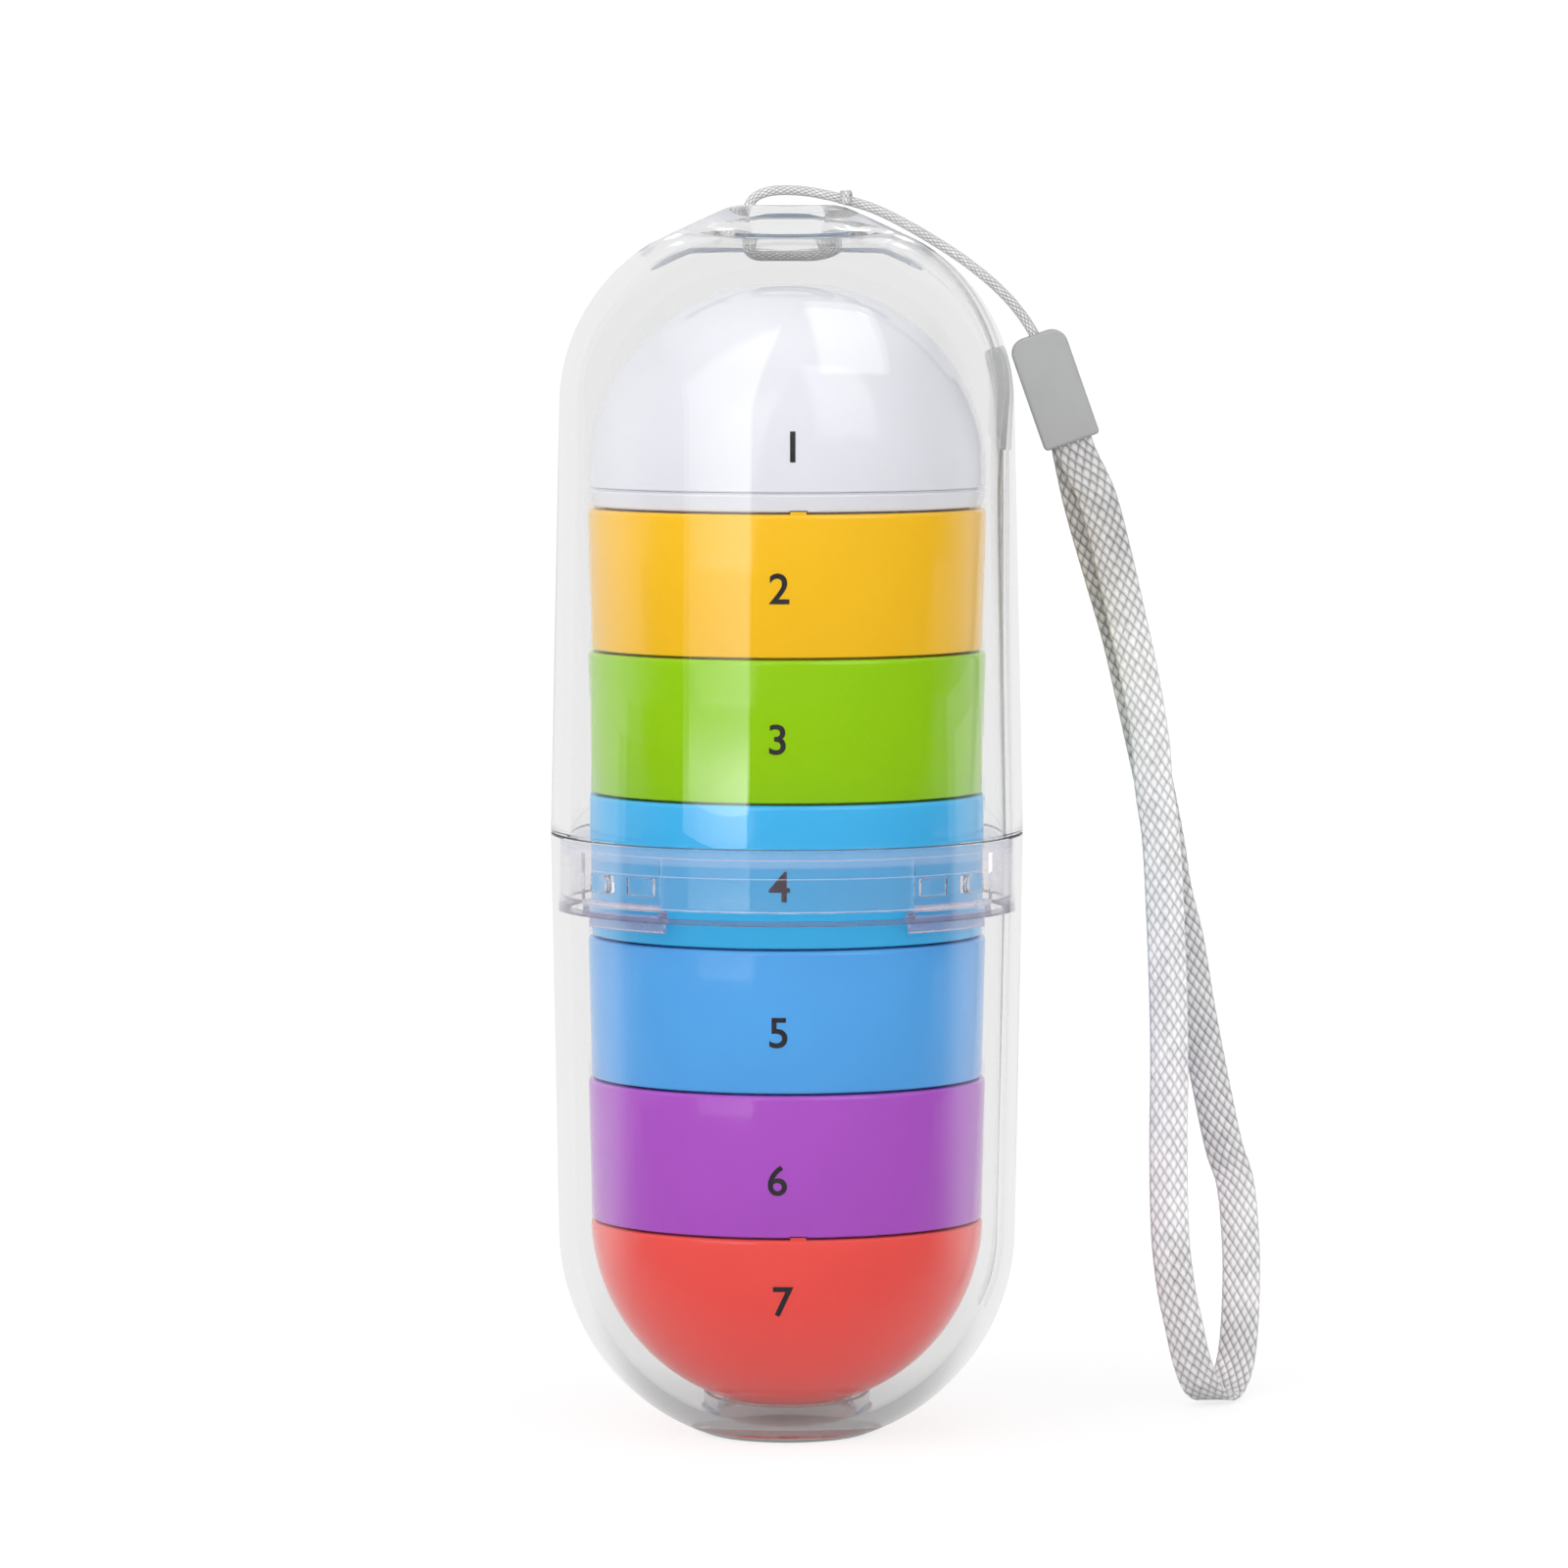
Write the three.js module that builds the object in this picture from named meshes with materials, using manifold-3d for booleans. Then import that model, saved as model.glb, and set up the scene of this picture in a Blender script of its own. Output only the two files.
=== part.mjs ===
// A weekly pill organizer: seven round pill boxes stacked in a clear capsule case with a wrist strap.
// Millimetres, +Z up. The origin is the middle of the case's flat foot. The boxes' labels face -Y
// and the strap hangs at +X.
import * as THREE from 'three';
import { mergeVertices } from 'three/addons/utils/BufferGeometryUtils.js';
import Module from 'manifold-3d';

const wasm = await Module();
wasm.setup();

// Facets of a full turn, and steps of the outlines' arcs.
const roundSegments = 36;
const arcSteps = 8;

// Clearances.
const slipGap = 0.3; // between pieces that plug, slide or rest on each other
const seamGap = 0.25; // between one box's rim and the next box's edge
const cutOverrun = 1; // how far a cutting solid runs past what it cuts

// The stack of boxes.
const boxCount = 5; // straight boxes, between the bowl below and the tray above
const rimRadius = 21.6;
const boxPitch = 15.65;
const boxDraft = 0.35; // a box is this much narrower at its lower edge
const boxWall = 1.5;
const boxFloor = 1.5;
const rimRounding = 0.35;
const plugDepth = 1.8; // the ring under a box that seats in the box below
const plugWall = 1.2;
const plugChamfer = 0.3;
const bowlInset = 0.25; // the lowest box is this much narrower than the rims
const trayBand = 1.85; // height of the white band that shows under the dome
const trayRingRise = 2.8; // the tray's ring stands this far into the dome
const domeSide = 3.75; // straight side of the dome lid, below its curve
const domeCurveRadius = 18;
const domeCrownRise = 0.55; // the dome's middle stands this far above the end of its curve
const domeCurveEnd = 80; // degrees of that curve
const keyWidth = 1.7; // locating key on the rim of the bowl and of the top box
const keyRise = 0.35; // how far a key reaches into its notch
const keyDepth = 0.8;
const keyInset = 0.4; // from the rim's edge to the key
const keyAngle = -87; // degrees: almost at the front

// The clear case.
const shellWall = 2;
const stackClearance = 2.4; // round the rims at the joint of the two shells
const shoulderClearance = 1.4; // round the rims where the cap's dome begins
const waistClearance = 1.85; // round the bowl where the lower shell's curve begins
const floorWall = 1.6;
const footRadius = 9;
const waistOffset = 1.2; // the lower curve's centre lies this far from the axis
const gateRadius = 1.7; // dimple under the foot
const gateDepth = 0.6;
const cradleLift = 1.15; // from the case floor to the bowl
const cradleRadius = 8;
const cradleWall = 1.2;
const splitHeight = 66.6; // the parting line of the two shells
const collarDepth = 8.3; // from the parting line to the stop ledge
const collarWall = 0.85;
const skirtDepth = 6.9; // how far the cap's skirt reaches into the collar
const fingerAngle = 47.5; // degrees from the front or the back to the middle of a snap finger
const fingerHalfAngle = 14; // degrees
const fingerRoot = 1.4; // from the parting line to the top of a finger's slits
const slitWidth = 0.4;
const lipReach = 0.9; // the finger's lip stands this far in from the skirt
const lipHeight = 2.2;
const lipSlope = 0.8;
const lipDrop = 1.4; // the lip reaches this far below the finger's end
const padWidth = 3.7; // two raised pads inside each finger
const padHeight = 2;
const padDepth = 0.5;
const padDrop = 4.5; // from the parting line to the pads' middle
const padAngle = 7.3; // degrees from the finger's middle

// The cap's crown and the slots that the strap's cord passes through.
const roofClearance = 3.5; // from the dome lid to the crown's underside
const crownWall = 5.2;
const crownFlatRadius = 6.4;
const crownSlope = 25; // degrees
const capCurveRadius = 21;
const roofCurveEnd = 78; // degrees of the inner curve
const barWidth = 7;
const slotReach = 15.2; // from the axis to a slot's outer end
const slotWidth = 5.6;

// The wrist strap.
const cordThickness = 1.1;
const clampWidth = 6.3;
const clampLength = 12.5;
const clampThickness = 4;
const clampCorner = 1.7; // at the cord's end
const clampEdge = 0.4; // at the band's end
const clampLean = -19.4; // degrees
const clampPlace = [29.3, 1.4, 115.3]; // its middle
const strandSpread = 0.75; // half the distance between the cord's two strands
const hitchThickness = 0.7;
const hitchInside = 3.3; // clear width between its legs
const hitchLeg = 1.1;
const hitchClearance = 0.45; // over the sloping strands
const bandWidth = 4.3;
const bandThickness = 0.9;
const bandChamfer = 0.25;
const cordSides = 8;
const cordSteps = 34;
const bandSteps = 76;

// The cord's two strands run side by side, from the clamp over the crown, down the left slot, under
// the bar and up the right slot to the hitch. Each row is the place midway between them, and how
// far each lies from it.
const strandRoute = [
  [27.1, 1.4, 121.5, strandSpread],
  [26.75, 1.4, 122.4, strandSpread],
  [25.9, 1.25, 123.35, strandSpread],
  [24.4, 0.95, 124.6, strandSpread],
  [22.1, 0.55, 126.5, strandSpread],
  [19.3, 0.2, 129.05, strandSpread],
  [16.1, 0, 131.9, strandSpread],
  [12.8, 0, 133.75, strandSpread],
  [9.6, 0, 135.15, strandSpread],
  [6.4, 0, 136.15, strandSpread],
  [3.2, 0, 136.8, strandSpread],
  [0.2, 0, 137.0, strandSpread],
  [-2.4, 0, 136.85, strandSpread],
  [-4.3, 0, 136.0, 0.8],
  [-5.35, 0, 134.3, 0.85],
  [-5.5, 0, 132.2, 0.9],
  [-5.0, 0, 130.4, 1.0],
  [-3.6, 0, 129.15, 1.05],
  [-1.6, 0, 128.85, 1.15],
  [0.8, 0, 128.8, 1.25],
  [3.2, 0, 129.05, 1.4],
  [5.1, 0, 130.1, 1.55],
  [6.15, 0, 131.6, 1.75],
  [6.4, 0, 133.3, 1.9],
  [6.45, 0, 134.5, 1.95],
];
const stepsToCrossing = 9; // rows from the clamp to where the hitch crosses the strands

// The band's one loop: down the front run from the clamp, round on the floor and up the back run.
const bandRoute = [
  [31.5, 0.65, 109.1],
  [32.05, 0.9, 107.7],
  [34.1, 1.8, 103.4],
  [36.1, 3.3, 96.1],
  [37.7, 4.8, 89.3],
  [39.1, 6.0, 83.1],
  [40.35, 7.4, 75.9],
  [40.8, 8.3, 71.0],
  [41.7, 9.4, 64.9],
  [42.35, 11.0, 54.3],
  [42.7, 12.0, 46.3],
  [42.85, 12.6, 39.2],
  [42.8, 13.0, 29.8],
  [43.05, 13.0, 19.9],
  [43.75, 13.0, 13.9],
  [44.6, 13.2, 9.9],
  [45.5, 14.0, 5.9],
  [46.9, 16.0, 2.3],
  [48.8, 19.4, 0.85],
  [50.4, 22.4, 2.3],
  [51.3, 24.0, 5.6],
  [51.7, 24.2, 13.0],
  [51.5, 23.4, 19.0],
  [50.8, 22.2, 25.0],
  [49.5, 21.2, 29.0],
  [47.5, 19.2, 38.2],
  [46.1, 17.6, 45.2],
  [44.7, 15.8, 53.1],
  [43.2, 14.4, 59.1],
  [42.5, 13.4, 63.5],
  [41.3, 12.0, 69.5],
  [40.2, 10.8, 74.4],
  [38.5, 9.0, 81.7],
  [37.0, 7.4, 87.9],
  [34.9, 5.6, 94.9],
  [32.7, 3.7, 102.4],
  [31.55, 2.6, 107.4],
  [31.3, 2.25, 108.65],
];

// Sizes that follow from the ones above.
const boxFootRadius = rimRadius - boxDraft;
const seatRadius = rimRadius - boxWall;
const plugRadius = seatRadius - slipGap;
const bowlRadius = rimRadius - bowlInset;
const bowlHeight = floorWall + cradleLift + bowlRadius; // its rim, and the centre of its curve
const stackHeight = bowlHeight + seamGap; // the lower edge of the first straight box
const trayHeight = stackHeight + boxCount * boxPitch;
const lidHeight = trayHeight + trayBand + seamGap;
const lidTop = lidHeight + domeSide + domeCurveRadius * sine(domeCurveEnd) + domeCrownRise;
const caseRadius = rimRadius + stackClearance + shellWall;
const waistRadius = bowlRadius + waistClearance + shellWall;
const shoulderRadius = rimRadius + shoulderClearance + shellWall;
const waistCurveRadius = waistRadius - waistOffset;
const waistHeight = Math.sqrt(waistCurveRadius ** 2 - (footRadius - waistOffset) ** 2);
const roofHeight = lidTop + roofClearance;
const crownHeight = roofHeight + crownWall;
const capCurveCentre = shoulderRadius - capCurveRadius;
const capCurveEnd = 90 - crownSlope;
const crownEdge = capCurveCentre + capCurveRadius * cosine(capCurveEnd);
const crownRise = (crownEdge - crownFlatRadius) * Math.tan(radians(crownSlope));
const shoulderHeight = crownHeight - crownRise - capCurveRadius * sine(capCurveEnd);
const roofCurveRadius = capCurveRadius - shellWall;
const roofCurveHeight = roofHeight - roofCurveRadius * sine(roofCurveEnd);
const collarRadius = caseRadius - collarWall;
const skirtRadius = collarRadius - slipGap;
const skirtInside = caseRadius - shellWall;
const ledgeHeight = splitHeight - collarDepth;

function radians(degrees) {
  return THREE.MathUtils.degToRad(degrees);
}

function sine(degrees) {
  return Math.sin(radians(degrees));
}

function cosine(degrees) {
  return Math.cos(radians(degrees));
}

// Points of an arc round [radius, height], from one angle to another. 0 points outwards, 90 up.
function arc(centre, radius, from, to, steps = arcSteps) {
  const points = [];
  for (let i = 0; i <= steps; i += 1) {
    const angle = from + ((to - from) * i) / steps;
    points.push([centre[0] + radius * cosine(angle), centre[1] + radius * sine(angle)]);
  }
  return points;
}

// A closed triangle mesh as a solid, with shared vertices merged and slivers dropped.
function solidOf(geometry) {
  const bare = geometry.index ? geometry.toNonIndexed() : geometry.clone();
  bare.deleteAttribute('normal');
  bare.deleteAttribute('uv');
  const merged = mergeVertices(bare);
  const corners = merged.index.array;
  const kept = [];
  for (let i = 0; i < corners.length; i += 3) {
    const [a, b, c] = [corners[i], corners[i + 1], corners[i + 2]];
    if (a !== b && b !== c && c !== a) {
      kept.push(a, b, c);
    }
  }
  return new wasm.Manifold(
    new wasm.Mesh({
      numProp: 3,
      vertProperties: new Float32Array(merged.attributes.position.array),
      triVerts: new Uint32Array(kept),
    }),
  );
}

function geometryOf(solid) {
  const mesh = solid.getMesh();
  const geometry = new THREE.BufferGeometry();
  geometry.setAttribute('position', new THREE.BufferAttribute(mesh.vertProperties, 3));
  geometry.setIndex(new THREE.BufferAttribute(mesh.triVerts, 1));
  return geometry;
}

// A turned solid. The outline is [radius, height] points, anticlockwise with the axis at its left.
function turned(outline) {
  const points = outline.map(([radius, height]) => new THREE.Vector2(radius, height));
  const onAxis = outline[0][0] === 0 && outline.at(-1)[0] === 0;
  if (!onAxis) {
    points.push(points[0].clone());
  }
  const geometry = new THREE.LatheGeometry(points, roundSegments);
  geometry.rotateX(Math.PI / 2);
  return solidOf(geometry);
}

// A flat outline of [x, y] points, as a prism between two heights.
function prism(outline, low, high) {
  const shape = new THREE.Shape(outline.map(([x, y]) => new THREE.Vector2(x, y)));
  const geometry = new THREE.ExtrudeGeometry(shape, { depth: high - low, bevelEnabled: false });
  geometry.translate(0, 0, low);
  return solidOf(geometry);
}

// A block that stands between two radii at an angle, as wide as it says, between two heights.
function blockAt(angle, inside, outside, width, low, high) {
  const geometry = new THREE.BoxGeometry(outside - inside, width, high - low);
  geometry.translate((inside + outside) / 2, 0, (low + high) / 2);
  geometry.rotateZ(radians(angle));
  return solidOf(geometry);
}

function vectors(route) {
  return route.map((point) => new THREE.Vector3(...point));
}

// A curve for a flat band, whose width stays as near to X as its direction lets it.
class BandCurve extends THREE.CatmullRomCurve3 {
  computeFrenetFrames(steps) {
    const frames = { tangents: [], normals: [], binormals: [] };
    for (let i = 0; i <= steps; i += 1) {
      const tangent = this.getTangentAt(i / steps);
      const across = new THREE.Vector3(1, 0, 0).addScaledVector(tangent, -tangent.x).normalize();
      frames.tangents.push(tangent);
      frames.normals.push(new THREE.Vector3().crossVectors(across, tangent));
      frames.binormals.push(across);
    }
    return frames;
  }
}

// A tube of a given section along a curve.
function tubeAlong(curve, section, steps) {
  const shape = new THREE.Shape(section.map(([x, y]) => new THREE.Vector2(x, y)));
  return new THREE.ExtrudeGeometry(shape, { steps, extrudePath: curve, bevelEnabled: false });
}

function clearPlastic(color = '#e6e9ea') {
  return new THREE.MeshStandardMaterial({
    color,
    roughness: 0.08,
    metalness: 0,
    transparent: true,
    opacity: 0.35,
  });
}

function glossPlastic(color) {
  return new THREE.MeshStandardMaterial({ color, roughness: 0.3, metalness: 0 });
}

function braid(color) {
  return new THREE.MeshStandardMaterial({ color, roughness: 0.8, metalness: 0 });
}

const organizer = new THREE.Group();
organizer.name = 'pill_organizer';

function place(name, geometry, material, parent = organizer) {
  const mesh = new THREE.Mesh(geometry, material);
  mesh.name = name;
  parent.add(mesh);
  return mesh;
}

// The ring under a piece that seats in the box below it, as outline points from the axis outwards.
function plugOutline(bottom) {
  return [
    [0, bottom],
    [plugRadius - plugWall, bottom],
    [plugRadius - plugWall, bottom - plugDepth],
    [plugRadius - plugChamfer, bottom - plugDepth],
    [plugRadius, bottom - plugDepth + plugChamfer],
    [plugRadius, bottom],
  ];
}

// A locating key that stands on a rim and bridges the seam.
function rimKey(rimEdge, rimHeight) {
  const outside = rimEdge - keyInset;
  const top = rimHeight + seamGap + keyRise;
  return blockAt(keyAngle, outside - keyDepth, outside, keyWidth, rimHeight - keyRise, top);
}

// The notch for such a key, in the lower edge of the piece above.
function keyNotch(rimEdge, lowerEdge) {
  const inside = rimEdge - keyInset - keyDepth - slipGap;
  const width = keyWidth + slipGap + slipGap;
  const top = lowerEdge + keyRise + slipGap;
  return blockAt(keyAngle, inside, rimEdge + cutOverrun, width, lowerEdge - cutOverrun, top);
}

function straightBox() {
  const rim = boxPitch - seamGap;
  return turned([
    ...plugOutline(0),
    [boxFootRadius, 0],
    [rimRadius, rim - rimRounding],
    [rimRadius - rimRounding, rim],
    [seatRadius, rim],
    [boxFootRadius - boxWall, boxFloor],
    [0, boxFloor],
  ]);
}

function bowl() {
  const seatDepth = plugDepth + slipGap;
  const insideRadius = bowlRadius - boxWall;
  const seatEdge = Math.asin(seatDepth / insideRadius);
  return turned([
    ...arc([0, 0], bowlRadius, -90, 0).map(([r, z], i) => [i === 0 ? 0 : r, z]),
    [seatRadius, 0],
    [seatRadius, -seatDepth],
    ...arc([0, 0], insideRadius, -THREE.MathUtils.radToDeg(seatEdge), -90).map(([r, z], i) => [
      i === arcSteps ? 0 : r,
      z,
    ]),
  ]);
}

function tray() {
  const ringInside = plugRadius - plugWall;
  return turned([
    ...plugOutline(0),
    [boxFootRadius, 0],
    [rimRadius, trayBand],
    [plugRadius, trayBand],
    [plugRadius, trayBand + trayRingRise],
    [ringInside, trayBand + trayRingRise],
    [ringInside, boxFloor],
    [0, boxFloor],
  ]);
}

function domeLid() {
  const centre = rimRadius - domeCurveRadius;
  const top = domeSide + domeCurveRadius * sine(domeCurveEnd) + domeCrownRise;
  return turned([
    [rimRadius, 0],
    ...arc([centre, domeSide], domeCurveRadius, 0, domeCurveEnd),
    [0, top],
    [0, top - boxWall],
    ...arc([centre, domeSide], domeCurveRadius - boxWall, domeCurveEnd, 0),
    [seatRadius, 0],
  ]);
}

// The case's lower shell, with its collar, stop ledge, cradle ring and gate dimple.
function caseBase() {
  const mouth = splitHeight - slipGap / 2;
  const taper = (caseRadius - waistRadius) / (splitHeight - waistHeight);
  const atLedge = caseRadius - taper * collarDepth;
  const footAngle = -THREE.MathUtils.radToDeg(Math.asin(waistHeight / waistCurveRadius));
  const insideCurve = waistCurveRadius - shellWall;
  const floorAngle = -THREE.MathUtils.radToDeg(Math.asin((waistHeight - floorWall) / insideCurve));
  const cradleEdge = cradleRadius + cradleWall;
  return turned([
    [0, gateDepth],
    [gateRadius, gateDepth],
    [gateRadius, 0],
    ...arc([waistOffset, waistHeight], waistCurveRadius, footAngle, 0),
    [caseRadius, mouth],
    [collarRadius, mouth],
    [collarRadius, ledgeHeight],
    [atLedge - shellWall, ledgeHeight],
    ...arc([waistOffset, waistHeight], insideCurve, 0, floorAngle),
    [cradleEdge, cradleTop(cradleEdge)],
    [cradleRadius, cradleTop(cradleRadius)],
    [cradleRadius, floorWall],
    [0, floorWall],
  ]);
}

// How high the cradle ring stands at a radius, just clear of the bowl.
function cradleTop(radius) {
  return bowlHeight - Math.sqrt((bowlRadius + slipGap) ** 2 - radius ** 2);
}

// A finger's profile, all the way round: its wall, and a lip that hooks in past the stop ledge.
function fingerRing() {
  const end = ledgeHeight + slipGap;
  const lipInside = skirtInside - lipReach;
  const lipOutside = skirtInside - slipGap - slipGap;
  return turned([
    [skirtRadius, end],
    [skirtRadius, splitHeight],
    [skirtInside, splitHeight],
    [skirtInside, end - lipDrop + lipHeight + lipSlope],
    [lipInside, end - lipDrop + lipHeight],
    [lipInside, end - lipDrop],
    [lipOutside, end - lipDrop],
    [lipOutside, end],
  ]);
}

// A wedge of a full turn round the axis, between two angles and two heights.
function wedge(from, to, low, high) {
  const reach = caseRadius + cutOverrun;
  const corners = [
    [0, 0],
    [reach * cosine(from), reach * sine(from)],
    [reach * cosine(to), reach * sine(to)],
  ];
  return prism(corners, low, high);
}

function snapFinger(angle) {
  const low = ledgeHeight - lipDrop - cutOverrun;
  const sector = wedge(angle - fingerHalfAngle, angle + fingerHalfAngle, low, splitHeight);
  let finger = fingerRing().intersect(sector);
  const padMiddle = splitHeight - padDrop;
  for (const side of [-padAngle, padAngle]) {
    const inside = skirtInside - padDepth;
    const low = padMiddle - padHeight / 2;
    const pad = blockAt(angle + side, inside, skirtRadius - padDepth, padWidth, low, low + padHeight);
    finger = finger.add(pad);
  }
  return finger;
}

// One slot through the crown, a half-round-ended hole beside the bar.
function crownSlot(side) {
  const half = slotWidth / 2;
  const inner = barWidth / 2;
  const end = arc([slotReach - half, 0], half, -90, 90).map(([x, y]) => [side * x, y]);
  const outline = [[side * inner, -half], ...end, [side * inner, half]];
  const ordered = side > 0 ? outline : outline.reverse();
  return prism(ordered, shoulderHeight, crownHeight + cutOverrun);
}

// The case's upper shell, with its slotted crown, skirt and snap fingers.
function caseCap() {
  const edge = splitHeight + slipGap / 2;
  const skirtEnd = splitHeight - skirtDepth;
  const curveFoot = [capCurveCentre, shoulderHeight];
  let shell = turned([
    [skirtInside, skirtEnd],
    [skirtRadius, skirtEnd],
    [skirtRadius, edge],
    [caseRadius, edge],
    ...arc(curveFoot, capCurveRadius, 0, capCurveEnd),
    [crownFlatRadius, crownHeight],
    [0, crownHeight],
    [0, roofHeight],
    ...arc([capCurveCentre, roofCurveHeight], roofCurveRadius, roofCurveEnd, 0),
  ]);
  for (const side of [-1, 1]) {
    shell = shell.subtract(crownSlot(side));
  }
  for (const angle of fingerAngles()) {
    shell = shell.add(snapFinger(angle));
    for (const side of [-1, 1]) {
      const offset = THREE.MathUtils.radToDeg(slitWidth / 2 / skirtRadius);
      const middle = angle + side * (fingerHalfAngle + offset);
      const inside = skirtInside - cutOverrun;
      const outside = skirtRadius + slipGap;
      const low = skirtEnd - cutOverrun;
      const slit = blockAt(middle, inside, outside, slitWidth, low, splitHeight - fingerRoot);
      shell = shell.subtract(slit);
    }
  }
  return shell;
}

// The middles of the four fingers, as directions from the axis.
function fingerAngles() {
  return [-90 - fingerAngle, -90 + fingerAngle, 90 - fingerAngle, 90 + fingerAngle];
}

function cordSection() {
  return arc([0, 0], cordThickness / 2, 0, 360, cordSides).slice(0, cordSides);
}

function bandSection() {
  const halfWidth = bandWidth / 2;
  const halfThickness = bandThickness / 2;
  const flat = halfWidth - bandChamfer;
  const side = halfThickness - bandChamfer;
  return [
    [halfThickness, -flat],
    [halfThickness, flat],
    [side, halfWidth],
    [-side, halfWidth],
    [-halfThickness, flat],
    [-halfThickness, -flat],
    [-side, -halfWidth],
    [side, -halfWidth],
  ];
}

// The clamp, upright at the origin: corners well rounded at the cord's end and sharper at the band's.
function clampBody() {
  const halfWidth = clampWidth / 2;
  const halfLength = clampLength / 2;
  const outline = [
    ...arc([halfWidth - clampCorner, halfLength - clampCorner], clampCorner, 0, 90, 4),
    ...arc([clampCorner - halfWidth, halfLength - clampCorner], clampCorner, 90, 180, 4),
    ...arc([clampEdge - halfWidth, clampEdge - halfLength], clampEdge, 180, 270, 2),
    ...arc([halfWidth - clampEdge, clampEdge - halfLength], clampEdge, 270, 360, 2),
  ];
  const block = prism(outline, -clampThickness / 2, clampThickness / 2);
  const geometry = geometryOf(block);
  geometry.rotateX(Math.PI / 2);
  return geometry;
}

// The cord's bight over its own two strands: an arch that stands across them.
function hitchArch() {
  const half = hitchInside / 2;
  const [crossing, , centreHeight] = strandRoute[stepsToCrossing];
  const under = centreHeight + cordThickness / 2 + hitchClearance;
  const foot = strandRoute.at(-1)[2] + slipGap;
  const outline = [
    [-half - hitchThickness, foot],
    [-half, foot],
    [-half, under],
    [half, under],
    [half, foot],
    [half + hitchThickness, foot],
    [half + hitchThickness, under + hitchThickness / 2],
    [half, under + hitchThickness],
    [-half, under + hitchThickness],
    [-half - hitchThickness, under + hitchThickness / 2],
  ];
  const geometry = geometryOf(prism(outline, -hitchLeg / 2, hitchLeg / 2));
  geometry.rotateX(Math.PI / 2);
  geometry.rotateZ(Math.PI / 2);
  geometry.translate(crossing, 0, 0);
  return geometry;
}

place('case_base', geometryOf(caseBase()), clearPlastic());
place('case_cap', geometryOf(caseCap()), clearPlastic());

const stack = new THREE.Group();
organizer.add(stack);

const bowlSolid = bowl().add(rimKey(bowlRadius, 0));
place('box_red', geometryOf(bowlSolid), glossPlastic('#ec544e'), stack).position.z = bowlHeight;

const boxColors = [
  ['box_purple', '#ac50be'],
  ['box_blue', '#58a4e8'],
  ['box_sky_blue', '#3cace8'],
  ['box_green', '#92ca04'],
  ['box_yellow', '#f6c224'],
];
boxColors.slice(0, boxCount).forEach(([name, color], i) => {
  let solid = straightBox();
  if (i === 0) {
    solid = solid.subtract(keyNotch(bowlRadius, 0));
  }
  if (i === boxCount - 1) {
    solid = solid.add(rimKey(rimRadius, boxPitch - seamGap));
  }
  const box = place(name, geometryOf(solid), glossPlastic(color), stack);
  box.position.z = stackHeight + i * boxPitch;
});

const traySolid = tray().subtract(keyNotch(rimRadius, 0));
place('top_tray', geometryOf(traySolid), glossPlastic('#e9e9f4'), stack).position.z = trayHeight;
place('dome_lid', geometryOf(domeLid()), glossPlastic('#e8e8f5'), stack).position.z = lidHeight;

const strap = new THREE.Group();
organizer.add(strap);

for (const [name, side] of [['strap_strand_front', -1], ['strap_strand_back', 1]]) {
  const route = strandRoute.map(([x, y, z, spread]) => [x, y + side * spread, z]);
  const tube = tubeAlong(new THREE.CatmullRomCurve3(vectors(route)), cordSection(), cordSteps);
  place(name, geometryOf(solidOf(tube)), braid('#c4c4c2'), strap);
}
place('strap_hitch', hitchArch(), braid('#b4b4b2'), strap);

const clamp = place('strap_clamp', clampBody(), glossPlastic('#acacac'), strap);
clamp.position.set(...clampPlace);
clamp.rotation.y = radians(clampLean);

const band = tubeAlong(new BandCurve(vectors(bandRoute)), bandSection(), bandSteps);
place('strap_band', geometryOf(solidOf(band)), braid('#d2d2d0'), strap);

export default organizer;
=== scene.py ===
# %% [markdown]
# # A weekly pill organizer
#
# Seven round pill boxes stand in a clear capsule case, and a braided wrist strap hangs from its cap.
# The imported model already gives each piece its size, place and motion. This lesson dresses it: every
# step makes one piece or one finish of the real object and says why it is made that way.
# Sizes are in millimetres here, and become metres when a mesh is finished.

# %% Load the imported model
import math

import bmesh
import bpy
from mathutils import Matrix, Vector
from mathutils.bvhtree import BVHTree
from mathutils.geometry import interpolate_bezier


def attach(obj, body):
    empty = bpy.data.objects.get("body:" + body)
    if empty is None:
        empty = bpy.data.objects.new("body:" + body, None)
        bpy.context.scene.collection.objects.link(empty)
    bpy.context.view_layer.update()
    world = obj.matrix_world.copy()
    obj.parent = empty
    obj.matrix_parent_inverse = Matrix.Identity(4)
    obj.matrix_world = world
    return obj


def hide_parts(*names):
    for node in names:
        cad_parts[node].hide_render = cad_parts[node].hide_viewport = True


MM = 0.001

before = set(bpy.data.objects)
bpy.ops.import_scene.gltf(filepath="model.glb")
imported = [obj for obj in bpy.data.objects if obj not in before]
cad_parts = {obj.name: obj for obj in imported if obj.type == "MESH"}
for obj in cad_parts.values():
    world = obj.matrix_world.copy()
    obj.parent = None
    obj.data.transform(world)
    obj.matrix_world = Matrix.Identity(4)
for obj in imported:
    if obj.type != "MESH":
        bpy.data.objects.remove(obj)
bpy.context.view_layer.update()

# %% [markdown]
# ## The camera
#
# The photograph looks at the case from a little above its middle with a long lens, so the front of
# each box bends only slightly. A long lens at a fair distance keeps the sides almost upright. The
# Standard view shows a colour as it is written, where the default one would soften it. Light passes
# many clear faces here, so its paths may be longer than usual before they end in black.

# %% Camera and view
LONGEST_PATH, LONGEST_CLEAR_PATH = 64, 32
CAMERA_LENS, CAMERA_TILT = 180.4, 4.322
CAMERA_PLACE = (-0.32, -863, 137)

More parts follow.
